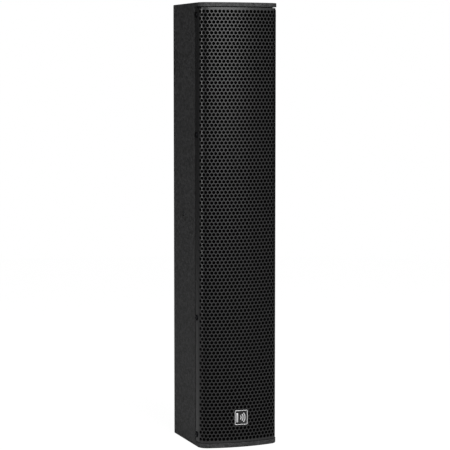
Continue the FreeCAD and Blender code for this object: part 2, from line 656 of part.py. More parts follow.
def flare(mouth_x, mouth_z, throat, start, end):
    """A tapering passage between two rectangles, widening faster towards its mouth."""
    sections = []
    for k in range(FLARE_SECTIONS + 1):
        share = k / FLARE_SECTIONS
        ease = (1.0 - share) ** FLARE_POWER
        hx = throat + (mouth_x - throat) * ease
        hz = throat + (mouth_z - throat) * ease
        y = FRONT + start + (end - start) * share
        corners = [Vector(-hx, y, HORN_Z - hz), Vector(hx, y, HORN_Z - hz),
                   Vector(hx, y, HORN_Z + hz), Vector(-hx, y, HORN_Z + hz)]
        sections.append(Part.makePolygon(corners + corners[:1]))
    return Part.makeLoft(sections, True, True)


def make_horn():
    """Moulded horn: flange, flared shell and the round seat of its compression driver."""
    face = BAFFLE_DEPTH
    flange_face = face - HORN_FLANGE
    end = face + HORN_LENGTH
    mouth_x = HORN_WIDTH / 2.0 - HORN_MARGIN
    mouth_z = HORN_HEIGHT / 2.0 - HORN_MARGIN
    passage = flare(mouth_x, mouth_z, THROAT, flange_face, end)
    shell = flare(mouth_x + HORN_WALL, mouth_z + HORN_WALL, THROAT + HORN_WALL, face, end)
    flange = rounded_block(HORN_WIDTH, HORN_HEIGHT, HORN_Z, flange_face, face, HORN_CORNER)
    neck = rod(HF_RADIUS - HORN_NECK_INSET, end - HORN_NECK, HORN_NECK, 0, HORN_Z)
    horn = flange.fuse([shell, neck]).cut(passage)
    for x, z in horn_screw_places():
        horn = horn.cut(rod(WOOD_SCREW_SHANK + SCREW_CLEARANCE, flange_face - PAST,
                            HORN_FLANGE + 2 * PAST, x, z))
    return horn


def make_hf_magnet():
    """Magnet of the compression driver, with the coil groove in its back face."""
    start = BAFFLE_DEPTH + HORN_LENGTH
    end = start + HF_MAGNET
    inner = HF_COIL_RADIUS - COIL_GAP
    outer = HF_COIL_RADIUS + FORMER_WALL + COIL_GAP
    return turned([(THROAT, start), (HF_RADIUS, start), (HF_RADIUS, end), (outer, end),
                   (outer, end - HF_GROOVE), (inner, end - HF_GROOVE), (inner, end), (THROAT, end)], HORN_Z)


def make_hf_diaphragm():
    """Domed diaphragm with its coil former in one turned piece."""
    end = BAFFLE_DEPTH + HORN_LENGTH + HF_MAGNET
    tip = end - HF_FORMER_REACH
    seat = end + DIAPHRAGM_LIFT
    inner = HF_COIL_RADIUS
    rim = inner + FORMER_WALL
    edge = rim + DIAPHRAGM_RIM
    back = seat + DIAPHRAGM_FOIL
    top = back + DIAPHRAGM_RISE
    under = top - DIAPHRAGM_FOIL
    return turned([(inner, tip), (rim, tip), (rim, seat), (edge, seat), (edge, back), (rim, back),
                   dome_middle(rim, back, top), (0.0, top), (0.0, under),
                   dome_middle(inner, seat, under), (inner, seat)], HORN_Z)


def make_hf_cover():
    """Cup over the back of the compression driver."""
    start = BAFFLE_DEPTH + HORN_LENGTH + HF_MAGNET
    end = start + HF_COVER
    outer = HF_RADIUS - HF_COVER_INSET
    inner = outer - HF_COVER_WALL
    return turned([(inner, start), (outer, start), (outer, end), (0.0, end),
                   (0.0, end - HF_COVER_WALL), (inner, end - HF_COVER_WALL)], HORN_Z)


# ---------------------------------------------------------------- ports
def port_screw_places():
    return [(side * PORT_SCREW_X, z) for z in PORT_Z.values() for side in (-1, 1)]


def make_port(z):
    """Reflex port: a tube with a round flange and a quarter-round mouth."""
    face = BAFFLE_DEPTH
    bore = PORT_RADIUS
    tube = bore + PORT_WALL
    end = face + PORT_LENGTH
    half_turn = PORT_FLANGE * math.sqrt(0.5)
    mouth = (bore + PORT_FLANGE - half_turn, face - half_turn, "via")
    port = turned([(bore + PORT_FLANGE, face - PORT_FLANGE), (PORT_FLANGE_RADIUS, face - PORT_FLANGE),
                   (PORT_FLANGE_RADIUS, face), (tube, face), (tube, end), (bore, end), (bore, face),
                   mouth], z)
    for side in (-1, 1):
        port = port.cut(rod(SMALL_SCREW_SHANK + SCREW_CLEARANCE, face - PORT_FLANGE - PAST,
                            PORT_FLANGE + 2 * PAST, side * PORT_SCREW_X, z))
    return port


def make_port_screws():
    face = BAFFLE_DEPTH - PORT_FLANGE
    screws = []
    for x, z in port_screw_places():
        head = rod(PORT_SCREW_HEAD, face - PORT_SCREW_HEAD_THICK, PORT_SCREW_HEAD_THICK, x, z)
        screws.append(head.fuse(rod(SMALL_SCREW_SHANK, face, PORT_SCREW_LENGTH, x, z)).removeSplitter())
    return Part.makeCompound(screws)


# ---------------------------------------------------------------- inserts
def rear_insert_places():
    return [(sx * REAR_INSERT_SPACING_X / 2.0, HEIGHT / 2.0 + sz * REAR_INSERT_SPACING_Z / 2.0)
            for sx in (-1, 1) for sz in (-1, 1)]


def make_insert(bore, barrel):
    """Flanged threaded insert that points along +X, its open end at the origin."""
    length = PANEL - INSERT_SETBACK
    body = Part.makeCylinder(barrel, length, Vector(-length, 0, 0), Vector(1, 0, 0))
    flange = Part.makeCylinder(barrel + INSERT_FLANGE_EXTRA, INSERT_FLANGE,
                               Vector(-length - INSERT_FLANGE, 0, 0), Vector(1, 0, 0))
    hole = Part.makeCylinder(bore, length + INSERT_FLANGE + 2 * PAST,
                             Vector(-length - INSERT_FLANGE - PAST, 0, 0), Vector(1, 0, 0))
    return body.fuse(flange).removeSplitter().cut(hole)


def make_side_insert(side):
    insert = make_insert(SIDE_INSERT_BORE, SIDE_INSERT_BARREL)
    if side < 0:
        insert.rotate(Vector(0, 0, 0), Vector(0, 0, 1), 180)
    insert.translate(Vector(side * (WIDTH / 2.0 - INSERT_SETBACK), FRONT + SIDE_INSERT_DEPTH, SIDE_INSERT_Z))
    return insert


def make_rear_inserts():
    inserts = []
    for x, z in rear_insert_places():
        insert = make_insert(REAR_INSERT_BORE, REAR_INSERT_BARREL)
        insert.rotate(Vector(0, 0, 0), Vector(0, 0, 1), 90)
        insert.translate(Vector(x, BACK - INSERT_SETBACK, z))
        inserts.append(insert)
    return Part.makeCompound(inserts)


# ---------------------------------------------------------------- connector dish
def dish_screw_places():
    x = (DISH_WIDTH - DISH_FLANGE_WIDTH) / 2.0
    z = (DISH_HEIGHT - DISH_FLANGE_WIDTH) / 2.0
    return [(sx * x, DISH_Z + sz * z) for sx in (-1, 1) for sz in (-1, 0, 1)]


def make_dish():
    """Moulded dish, sunk in the rear panel, with round holes for the sockets in its floor."""
    body_width = DISH_WIDTH - 2 * DISH_FLANGE_WIDTH
    body_height = DISH_HEIGHT - 2 * DISH_FLANGE_WIDTH
    under = DISH_FLOOR - DISH_WALL
    flange = rounded_block(DISH_WIDTH, DISH_HEIGHT, DISH_Z, DISH_FACE - DISH_FLANGE, DISH_FACE, DISH_CORNER)
    body = rounded_block(body_width, body_height, DISH_Z, under, DISH_FACE, DISH_CORNER)
    hollow = rounded_block(body_width - 2 * DISH_WALL, body_height - 2 * DISH_WALL, DISH_Z, DISH_FLOOR,
                           DISH_FACE + PAST, DISH_CORNER - DISH_WALL)
    dish = flange.fuse(body).removeSplitter().cut(hollow)
    for z in socket_heights().values():
        dish = dish.cut(rod(SOCKET_BARREL + CLEARANCE, under - PAST, DISH_WALL + 2 * PAST, 0, z))
    for x, z in socket_screw_places():
        dish = dish.cut(rod(SMALL_SCREW_SHANK, under - PAST, DISH_WALL + 2 * PAST, x, z))
    for x, z in dish_screw_places():
        dish = dish.cut(rod(SMALL_SCREW_SHANK + SCREW_CLEARANCE, DISH_FACE - DISH_FLANGE - PAST,
                            DISH_FLANGE + 2 * PAST, x, z))
        dish = dish.cut(countersink(x, z))
    return dish


def countersink(x, z):
    """Cone that a countersunk head fills, flush with the face of the dish."""
    return Part.makeCone(SMALL_SCREW_SHANK, SMALL_SCREW_HEAD, DISH_FLANGE,
                         Vector(x, FRONT + DISH_FACE - DISH_FLANGE, z), Vector(0, 1, 0))


def make_dish_screws():
    screws = []
    length = DISH_FACE - DISH_FLANGE - DISH_SCREW_END
    for x, z in dish_screw_places():
        shank = rod(SMALL_SCREW_SHANK, DISH_SCREW_END, length, x, z)
        screws.append(countersink(x, z).fuse(shank).removeSplitter())
    return Part.makeCompound(screws)


def make_dish_gasket():
    """Foam gasket under the flange of the dish."""
    end = DISH_FACE - DISH_FLANGE
    gasket = rounded_block(DISH_WIDTH, DISH_HEIGHT, DISH_Z, end - GASKET_DISH, end, DISH_CORNER)
    hole = rounded_block(DISH_WIDTH - 2 * DISH_FLANGE_WIDTH + 2 * CLEARANCE,
                         DISH_HEIGHT - 2 * DISH_FLANGE_WIDTH + 2 * CLEARANCE, DISH_Z,
                         end - GASKET_DISH - PAST, end + PAST, DISH_CORNER)
    gasket = gasket.cut(hole)
    for x, z in dish_screw_places():
        gasket = gasket.cut(rod(SMALL_SCREW_SHANK + SCREW_CLEARANCE, end - GASKET_DISH - PAST,
                                GASKET_DISH + 2 * PAST, x, z))
    return gasket


def socket_heights():
    return {"input": DISH_Z + SOCKET_SPACING / 2.0, "link": DISH_Z - SOCKET_SPACING / 2.0}


def socket_screw_places():
    return [(sx * SOCKET_SCREW_X, z + sz * SOCKET_SCREW_Z)
            for z in socket_heights().values() for sx, sz in ((-1, 1), (1, -1))]


def make_socket(z):
    """Four-pole twist-lock loudspeaker socket: square flange, round barrel and a keyed core."""
    face = DISH_FLOOR
    back = face - SOCKET_BACK
    bottom = back + SOCKET_FLOOR
    root = bottom - PAST                                # the core and the key grow out of the floor
    front = face + SOCKET_FLANGE
    flange = rounded_block(SOCKET_WIDTH, SOCKET_HEIGHT, z, face, front, SOCKET_CORNER)
    barrel = rod(SOCKET_BARREL, back, SOCKET_BACK, 0, z)
    cavity = rod(SOCKET_BORE, bottom, front + PAST - bottom, 0, z)
    core = rod(SOCKET_CORE, root, front - SOCKET_CORE_SETBACK - root, 0, z)
    half = SOCKET_KEY_WIDTH / 2.0
    key = block(-half, half, root, front, z + SOCKET_BORE - SOCKET_KEY_HEIGHT, z + SOCKET_BORE + PAST)
    socket = flange.fuse(barrel).cut(cavity).fuse([core, key])
    for x, screw_z in socket_screw_places():
        socket = socket.cut(rod(SMALL_SCREW_SHANK + SCREW_CLEARANCE, face - PAST,
                                SOCKET_FLANGE + 2 * PAST, x, screw_z))
    return socket.removeSplitter()


def make_socket_screws():
    face = DISH_FLOOR + SOCKET_FLANGE
    screws = []
    for x, z in socket_screw_places():
        head = rod(SOCKET_SCREW_HEAD, face, SMALL_SCREW_HEAD_THICK, x, z)
        shank = rod(SMALL_SCREW_SHANK, face - SOCKET_SCREW_LENGTH, SOCKET_SCREW_LENGTH, x, z)
        screws.append(head.fuse(shank).removeSplitter())
    return Part.makeCompound(screws)


# ---------------------------------------------------------------- crossover and damping
def board_hole_places():
    x = BOARD_WIDTH / 2.0 - BOARD_HOLE_INSET
    z = BOARD_HEIGHT / 2.0 - BOARD_HOLE_INSET
    return [(sx * x, BOARD_Z + sz * z) for sx in (-1, 1) for sz in (-1, 1)]


def make_board():
    half_x = BOARD_WIDTH / 2.0
    half_z = BOARD_HEIGHT / 2.0
    board = block(-half_x, half_x, BOARD_FACE, BOARD_FACE + BOARD, BOARD_Z - half_z, BOARD_Z + half_z)
    for x, z in board_hole_places():
        board = board.cut(rod(SMALL_SCREW_SHANK + SCREW_CLEARANCE, BOARD_FACE - PAST, BOARD + 2 * PAST, x, z))
    return board


def make_standoffs():
    tubes = []
    back = BOARD_FACE + BOARD
    for x, z in board_hole_places():
        bore = rod(SMALL_SCREW_SHANK + SCREW_CLEARANCE, back - PAST, STANDOFF + 2 * PAST, x, z)
        tubes.append(rod(STANDOFF_RADIUS, back, STANDOFF, x, z).cut(bore))
    return Part.makeCompound(tubes)


def make_board_screws():
    screws = []
    for x, z in board_hole_places():
        head = rod(SMALL_SCREW_HEAD, BOARD_FACE - SMALL_SCREW_HEAD_THICK, SMALL_SCREW_HEAD_THICK, x, z)
        shank = rod(SMALL_SCREW_SHANK, BOARD_FACE, BOARD + STANDOFF + BOARD_SCREW_GRIP, x, z)
        screws.append(head.fuse(shank).removeSplitter())
    return Part.makeCompound(screws)


def make_inductor(x, z, radius, width):
    """Air-cored coil that lies flat on the board."""
    coil = rod(radius, BOARD_FACE - width, width, x, z)
    return coil.cut(rod(radius * INDUCTOR_BORE, BOARD_FACE - width - PAST, width + 2 * PAST, x, z))


def make_capacitor(x, z, radius, length):
    """Film capacitor that lies on the board, its axis upright, on a foot of glue."""
    centre = Vector(x, FRONT + BOARD_FACE - radius - CAPACITOR_LIFT, z - length / 2.0)
    body = Part.makeCylinder(radius, length, centre, Vector(0, 0, 1))
    foot = block(x - radius / 2.0, x + radius / 2.0, BOARD_FACE - radius, BOARD_FACE,
                 z - length / 3.0, z + length / 3.0)
    return body.fuse(foot).removeSplitter()


def make_resistor():
    """Cement power resistor on the board."""
    half_x = RESISTOR_WIDTH / 2.0
    half_z = RESISTOR_LENGTH / 2.0
    z = BOARD_Z + RESISTOR_Z
    return block(RESISTOR_X - half_x, RESISTOR_X + half_x, BOARD_FACE - RESISTOR_THICK, BOARD_FACE,
                 z - half_z, z + half_z)


def make_wadding():
    """Polyester wadding on the rear panel behind the upper cone drivers."""
    half = INNER_WIDTH / 2.0 - WADDING_MARGIN
    low = BRACE_Z["upper"] + BRACE / 2.0 + WADDING_MARGIN
    high = INNER_HIGH - WADDING_MARGIN
    pad = block(-half, half, INNER_BACK - WADDING, INNER_BACK, low, high)
    rim = [e for e in pad.Edges if all(near(v.Y, FRONT + INNER_BACK - WADDING) for v in e.Vertexes)]
    return pad.makeFillet(WADDING_MARGIN, rim)


# ---------------------------------------------------------------- write every node
save("top_panel", make_end_panel(True))
save("bottom_panel", make_end_panel(False))
save("side_panel_left", make_side_panel(-1))
save("side_panel_right", make_side_panel(1))
save("rear_panel", make_rear_panel())
save("front_baffle", make_baffle())
for place, height in BRACE_Z.items():
    save(place + "_brace", make_brace(height))

save("grille", make_grille())
save("grille_foam", make_foam())
save("grille_badge", make_badge())
save("grille_screws", make_grille_screws())

for number, height in WOOFER_Z.items():
    save("woofer_%d_basket" % number, make_basket(height))
    save("woofer_%d_magnet" % number, make_woofer_magnet(height))
    save("woofer_%d_cone" % number, make_cone(height))
    save("woofer_%d_voice_coil" % number, make_voice_coil(height))
    save("woofer_%d_surround" % number, make_surround(height))
    save("woofer_%d_spider" % number, make_spider(height))
save("woofer_gaskets", Part.makeCompound([make_gasket(height) for height in WOOFER_Z.values()]))
save("driver_screws", Part.makeCompound(
    [pan_screw_back(x, z, BAFFLE_DEPTH - WOOFER_FLANGE_THICK, WOOD_SCREW_LENGTH)
     for x, z in woofer_screw_places()]
    + [pan_screw_back(x, z, BAFFLE_DEPTH - HORN_FLANGE, WOOD_SCREW_LENGTH)
       for x, z in horn_screw_places()]))

save("horn", make_horn())
save("horn_driver_magnet", make_hf_magnet())
save("horn_driver_diaphragm", make_hf_diaphragm())
save("horn_driver_cover", make_hf_cover())

for place, height in PORT_Z.items():
    save(place + "_port", make_port(height))
save("port_screws", make_port_screws())

save("side_inserts", Part.makeCompound([make_side_insert(-1), make_side_insert(1)]))
save("rear_inserts", make_rear_inserts())

save("connector_dish", make_dish())
save("dish_gasket", make_dish_gasket())
save("dish_screws", make_dish_screws())
for use, height in socket_heights().items():
    save(use + "_socket", make_socket(height))
save("socket_screws", make_socket_screws())

save("crossover_board", make_board())
save("board_standoffs", make_standoffs())
save("board_screws", make_board_screws())
save("crossover_inductors", Part.makeCompound(
    [make_inductor(x, BOARD_Z + z, radius, width) for x, z, radius, width in INDUCTORS]))
save("crossover_capacitors", Part.makeCompound(
    [make_capacitor(x, BOARD_Z + z, radius, length) for x, z, radius, length in CAPACITORS]))
save("crossover_resistor", make_resistor())
save("damping_wadding", make_wadding())
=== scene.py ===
import math
import bpy
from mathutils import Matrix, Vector


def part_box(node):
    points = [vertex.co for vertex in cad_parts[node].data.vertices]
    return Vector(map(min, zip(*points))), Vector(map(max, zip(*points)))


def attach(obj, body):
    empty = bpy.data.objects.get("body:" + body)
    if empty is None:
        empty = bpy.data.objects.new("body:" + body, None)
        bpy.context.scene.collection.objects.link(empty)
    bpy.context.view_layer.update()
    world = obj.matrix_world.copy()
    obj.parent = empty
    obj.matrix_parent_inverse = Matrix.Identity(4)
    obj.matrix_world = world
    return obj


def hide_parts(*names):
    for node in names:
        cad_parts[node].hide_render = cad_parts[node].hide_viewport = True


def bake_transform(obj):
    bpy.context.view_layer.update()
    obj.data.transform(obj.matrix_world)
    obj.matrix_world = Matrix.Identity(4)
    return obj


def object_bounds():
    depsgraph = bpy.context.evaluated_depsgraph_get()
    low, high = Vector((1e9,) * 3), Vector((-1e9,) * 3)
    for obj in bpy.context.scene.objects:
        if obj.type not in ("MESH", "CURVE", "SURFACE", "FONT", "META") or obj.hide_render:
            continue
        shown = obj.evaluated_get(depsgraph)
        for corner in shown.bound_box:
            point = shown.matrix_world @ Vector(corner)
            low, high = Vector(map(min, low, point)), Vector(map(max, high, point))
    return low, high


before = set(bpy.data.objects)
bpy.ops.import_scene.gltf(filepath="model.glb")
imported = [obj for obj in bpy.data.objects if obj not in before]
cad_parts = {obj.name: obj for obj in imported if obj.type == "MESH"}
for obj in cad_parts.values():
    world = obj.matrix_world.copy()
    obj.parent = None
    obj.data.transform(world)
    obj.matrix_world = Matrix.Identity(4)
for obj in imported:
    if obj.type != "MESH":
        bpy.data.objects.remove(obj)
cad_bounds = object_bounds()
bpy.ops.object.select_all(action="DESELECT")
MM = 0.001
UPRIGHT = (math.pi / 2.0, 0.0, 0.0)     # turns a flat shape from the floor to face the front
SMOOTH = math.radians(35.0)            # edges sharper than this stay sharp

# ---------------------------------------------------------------- camera and studio
# The camera stands well back, in front and a little to the left, and looks slightly down along a
# long lens, so the column's upright edges stay nearly parallel.
grille_low, grille_high = (Vector(c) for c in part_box("grille"))
nose_y = grille_low.y
CAMERA_LEFT = 1.001
CAMERA_BACK = 2.695                    # in front of the grille
CAMERA_HEIGHT = 0.62146
LOOK_DOWN = math.radians(4.955)
LOOK_RIGHT = math.radians(19.838)
LENS = 139.66
bpy.ops.object.camera_add(
    location=(-CAMERA_LEFT, nose_y - CAMERA_BACK, CAMERA_HEIGHT),
    rotation=(math.pi / 2.0 - LOOK_DOWN, 0.0, -LOOK_RIGHT))
camera = bpy.context.object
camera.data.lens = LENS
camera.data.sensor_width = 36.0
camera.data.clip_end = 100.0
bpy.context.scene.camera = camera
bpy.context.scene.view_settings.view_transform = "Standard"


def linear(hex_colour):
    """An sRGB hex colour as the linear colour that the shader takes."""
    channels = [int(hex_colour[i:i + 2], 16) / 255.0 for i in (1, 3, 5)]
    return [c / 12.92 if c <= 0.04045 else ((c + 0.055) / 1.055) ** 2.4 for c in channels] + [1.0]


def add_node(tree, kind, values=None, links=None, **settings):
    """Add one shader node with its settings, fixed inputs and incoming links."""
    node = tree.nodes.new(kind)
    for name, value in settings.items():
        setattr(node, name, value)
    for name, value in (values or {}).items():
        node.inputs[name].default_value = value
    for name, socket in (links or {}).items():
        tree.links.new(socket, node.inputs[name])
    return node


def new_material(name):
    """An empty material: the material and its node tree."""
    material = bpy.data.materials.new(name)
    material.use_nodes = True
    material.node_tree.nodes.clear()
    return material, material.node_tree


# Seamless white studio floor, burnt out to white where the camera looks at it. The scale of a
# noise or of cells, here and below, is how many of them make a metre.
FLOOR_RADIUS = 3.0
PAPER_FIBRES = 400.0                   # 2.5 mm each
paper, tree = new_material("studio_paper")
coords = add_node(tree, "ShaderNodeTexCoord")
fibre = add_node(tree, "ShaderNodeTexNoise", {"Scale": PAPER_FIBRES, "Detail": 4.0},
                 {"Vector": coords.outputs["Object"]})
bump = add_node(tree, "ShaderNodeBump", {"Strength": 0.05, "Distance": 0.2 * MM},
                {"Height": fibre.outputs["Fac"]})
plain = add_node(tree, "ShaderNodeBsdfPrincipled",
                 {"Base Color": linear("#C4C4C4"), "Roughness": 0.9, "Specular IOR Level": 0.1},
                 {"Normal": bump.outputs["Normal"]})
burnt = add_node(tree, "ShaderNodeBsdfPrincipled",
                 {"Base Color": linear("#505050"), "Roughness": 0.9, "Specular IOR Level": 0.1,
                  "Emission Color": linear("#FFFFFF"), "Emission Strength": 0.97},
                 {"Normal": bump.outputs["Normal"]})
path = add_node(tree, "ShaderNodeLightPath")
mix = add_node(tree, "ShaderNodeMixShader")
tree.links.new(path.outputs["Is Camera Ray"], mix.inputs[0])
tree.links.new(plain.outputs["BSDF"], mix.inputs[1])
tree.links.new(burnt.outputs["BSDF"], mix.inputs[2])
add_node(tree, "ShaderNodeOutputMaterial", links={"Surface": mix.outputs["Shader"]})

bpy.ops.mesh.primitive_circle_add(vertices=128, radius=FLOOR_RADIUS, fill_type="NGON")
floor = bpy.context.object
floor.name = "studio_floor"
floor.data.materials.append(paper)

# The room round it: white where the camera looks straight at it, and where it only lights, dim,
# with a lighter wall in front of the column than behind it.
world = bpy.data.worlds.new("studio_room")
bpy.context.scene.world = world
world.use_nodes = True
tree = world.node_tree
tree.nodes.clear()
path = add_node(tree, "ShaderNodeLightPath")
direction = add_node(tree, "ShaderNodeTexCoord")
parts = add_node(tree, "ShaderNodeSeparateXYZ", links={"Vector": direction.outputs["Generated"]})
wall = add_node(tree, "ShaderNodeMapRange",
                {"From Min": -1.0, "From Max": 0.1, "To Min": 0.85, "To Max": 0.03},
                {"Value": parts.outputs["Y"]})
dim = add_node(tree, "ShaderNodeBackground", {"Color": linear("#FFFFFF")},
               {"Strength": wall.outputs["Result"]})
bright = add_node(tree, "ShaderNodeBackground", {"Color": linear("#FFFFFF"), "Strength": 1.0})
mix = add_node(tree, "ShaderNodeMixShader")
tree.links.new(path.outputs["Is Camera Ray"], mix.inputs[0])
tree.links.new(dim.outputs["Background"], mix.inputs[1])
tree.links.new(bright.outputs["Background"], mix.inputs[2])
add_node(tree, "ShaderNodeOutputWorld", links={"Surface": mix.outputs["Shader"]})


def add_softbox(name, azimuth, distance, height, width, tall, power):
    """An upright softbox that faces the column, at an angle right of the front."""
    turn = math.radians(azimuth)
    place = Vector((distance * math.sin(turn), -distance * math.cos(turn), height))
    bpy.ops.object.light_add(type="AREA", location=place, rotation=(math.pi / 2.0, 0.0, turn))
    lamp = bpy.context.object
    lamp.name = name
    lamp.data.shape = "RECTANGLE"
    lamp.data.size = width
    lamp.data.size_y = tall
    lamp.data.energy = power


# A large softbox in front and a little to the right, and one at the left; the gap between them
# shows as a dark line on the grille's rounded corner. A round one, overhead and in front, lights
# the floor.
TOP_PLACE = (0.3, -1.7, 2.4)
TOP_WIDTH = 1.4
TOP_POWER = 50.0
add_softbox("softbox_front", azimuth=4.0, distance=2.2, height=1.38, width=1.3, tall=1.5, power=21.0)
add_softbox("softbox_left", azimuth=-82.0, distance=2.0, height=0.75, width=0.6, tall=1.4, power=14.0)
bpy.ops.object.light_add(type="AREA", location=TOP_PLACE)
softbox = bpy.context.object
softbox.name = "softbox_top"
softbox.data.shape = "DISK"
softbox.data.size = TOP_WIDTH
softbox.data.energy = TOP_POWER

# ---------------------------------------------------------------- perforated grille
# Sheet steel, 1.2 mm thick, punched with staggered hexagonal holes, left plain round its rim,
# bent round the front into two side flanges, and powder-coated black.
PITCH = 6.7 * MM
HOLE = 5.35 * MM                       # across the flats
ROW = PITCH * math.sqrt(3.0) / 2.0
ROWS = 123
COLUMNS = 22                           # in every other row, and one fewer between
SHEET = 1.2 * MM
CELL_MERGE = 0.05 * MM                 # joins the corners that neighbouring cells share
FIRST_ROW = 14.95 * MM                 # under the top of the cabinet
FRONT_RADIUS = 225.9 * MM
CORNER_RADIUS = 16.2 * MM
NOTCH_ARC = 67.0 * MM                  # along the sheet from its middle to the relieved corner
NOTCH_SHELF = 4.05 * MM                # the relieved corner starts this far over the first row

half_width = grille_high.x
corner_x = half_width - CORNER_RADIUS
lean = math.asin(corner_x / (FRONT_RADIUS - CORNER_RADIUS))
front_arc = FRONT_RADIUS * lean
corner_arc = CORNER_RADIUS * (math.pi / 2.0 - lean)
side_start = front_arc + corner_arc
corner_depth = FRONT_RADIUS - math.sqrt((FRONT_RADIUS - CORNER_RADIUS) ** 2 - corner_x ** 2)
flange_arc = side_start + (grille_high.y - nose_y) - corner_depth
top_row = cad_bounds[1][2] - FIRST_ROW


def select_edges(obj, test):
    """In edit mode, select just the open edges whose two ends pass a test."""
    bpy.ops.object.mode_set(mode="EDIT")
    bpy.ops.mesh.select_mode(type="EDGE")
    bpy.ops.mesh.select_all(action="DESELECT")
    bpy.ops.object.mode_set(mode="OBJECT")
    uses = {}
    for face in obj.data.polygons:
        for key in face.edge_keys:
            uses[key] = uses.get(key, 0) + 1
    for edge in obj.data.edges:
        ends = [obj.data.vertices[i].co for i in edge.vertices]
        edge.select = uses.get(tuple(sorted(edge.vertices)), 0) == 1 and test(*ends)
    bpy.ops.object.mode_set(mode="EDIT")


def apply_modifier(obj, kind, **settings):
    """Add a modifier, set it and apply it."""
    bpy.context.view_layer.objects.active = obj
    modifier = obj.modifiers.new(kind.lower(), kind)
    for name, value in settings.items():
        setattr(modifier, name, value)
    bpy.ops.object.modifier_apply(modifier=modifier.name)


def join_pieces(pieces):
    """Join pieces into the first of them, which keeps its name."""
    bpy.ops.object.select_all(action="DESELECT")
    for piece in pieces:
        piece.select_set(True)
    bpy.context.view_layer.objects.active = pieces[0]
    bpy.ops.object.join()
    return pieces[0]


def punched_rows(name, columns, rows, first_z):
    """Every other row of the punched sheet, one six-sided cell to each hole."""
    bpy.ops.mesh.primitive_circle_add(
        vertices=6, radius=PITCH / math.sqrt(3.0), fill_type="NGON",
        location=(-(columns - 1) * PITCH / 2.0, 0.0, first_z), rotation=UPRIGHT)
    cells = bpy.context.object
    cells.name = name
    bpy.ops.object.transform_apply(location=True, rotation=True, scale=True)
    bpy.ops.object.mode_set(mode="EDIT")
    bpy.ops.mesh.select_all(action="SELECT")
    bpy.ops.mesh.inset(thickness=(PITCH - HOLE) / 2.0)
    bpy.ops.object.mode_set(mode="OBJECT")
    apply_modifier(cells, "ARRAY", count=columns, use_relative_offset=False, use_constant_offset=True,
                   constant_offset_displace=(PITCH, 0.0, 0.0))
    apply_modifier(cells, "ARRAY", count=rows, use_relative_offset=False, use_constant_offset=True,
                   constant_offset_displace=(0.0, 0.0, -2.0 * ROW))
    return cells


def extrude_to(axis, place):
    """Extrude the selected edges and flatten the new ones onto a plane across an axis."""
    bpy.ops.mesh.extrude_edges_move()
    flat = [1.0, 1.0, 1.0]
    flat[axis] = 0.0
    centre = [0.0, 0.0, 0.0]
    centre[axis] = place
    bpy.ops.transform.resize(value=flat, center_override=centre)
    bpy.ops.object.mode_set(mode="OBJECT")


wide_rows = punched_rows("grille_mesh", COLUMNS, (ROWS + 1) // 2, top_row)
narrow_rows = punched_rows("grille_mesh_between", COLUMNS - 1, ROWS // 2, top_row - ROW)
grille = join_pieces([wide_rows, narrow_rows])
bpy.ops.object.mode_set(mode="EDIT")
bpy.ops.mesh.select_all(action="SELECT")
bpy.ops.mesh.remove_doubles(threshold=CELL_MERGE)
bpy.ops.object.mode_set(mode="OBJECT")

# The plain rim: first out to both sides past the bend, then up and down to the sheet's ends.
SLACK = 0.02 * MM
last_column = (COLUMNS - 1) * PITCH / 2.0
bottom_row = top_row - (ROWS - 1) * ROW
bend_end = side_start + SLACK
for side in (-1.0, 1.0):
    reach = last_column
    for place in ((last_column + PITCH / 2.0 + bend_end) / 2.0, bend_end, flange_arc):
        select_edges(grille, lambda a, b: min(side * a.x, side * b.x) > reach - SLACK)
        extrude_to(0, side * place)
        reach = place
outer = flange_arc - SLACK
valley = PITCH / (2.0 * math.sqrt(3.0))
select_edges(grille, lambda a, b: min(a.z, b.z) > top_row + valley - SLACK
             and min(abs(a.x), abs(b.x)) < outer)
extrude_to(2, top_row + NOTCH_SHELF)
select_edges(grille, lambda a, b: min(a.z, b.z) > top_row + NOTCH_SHELF - SLACK
             and max(abs(a.x), abs(b.x)) < NOTCH_ARC + SLACK)
extrude_to(2, grille_high.z)
select_edges(grille, lambda a, b: max(a.z, b.z) < bottom_row - valley + SLACK
             and min(abs(a.x), abs(b.x)) < outer)
extrude_to(2, grille_low.z)

# The holes: each cell's six-sided middle goes.
bpy.ops.object.mode_set(mode="EDIT")
bpy.ops.mesh.select_mode(type="FACE")
bpy.ops.mesh.select_all(action="DESELECT")
bpy.ops.mesh.select_face_by_sides(number=6)
bpy.ops.mesh.delete(type="FACE")
bpy.ops.object.mode_set(mode="OBJECT")


def bent_place(along, inset=0.0):
    """Where a point this far along the sheet from its middle comes to lie, seen from above, if it
    is set in from the outer face by the inset."""
    side = math.copysign(1.0, along)
    reach = abs(along)
    if reach < front_arc:
        turn = reach / FRONT_RADIUS
        radius = FRONT_RADIUS - inset
        return side * radius * math.sin(turn), FRONT_RADIUS - radius * math.cos(turn)
    if reach < side_start:
        turn = lean + (reach - front_arc) / CORNER_RADIUS
        radius = CORNER_RADIUS - inset
        return side * (corner_x + radius * math.sin(turn)), corner_depth - radius * math.cos(turn)
    return side * (half_width - inset), corner_depth + reach - side_start


for vertex in grille.data.vertices:
    across, back = bent_place(vertex.co.x)
    vertex.co.x = across
    vertex.co.y = nose_y + back
apply_modifier(grille, "SOLIDIFY", thickness=SHEET, offset=-1.0, use_even_offset=True)
bpy.ops.object.select_all(action="DESELECT")
grille.select_set(True)
bpy.ops.object.shade_smooth_by_angle(angle=SMOOTH)

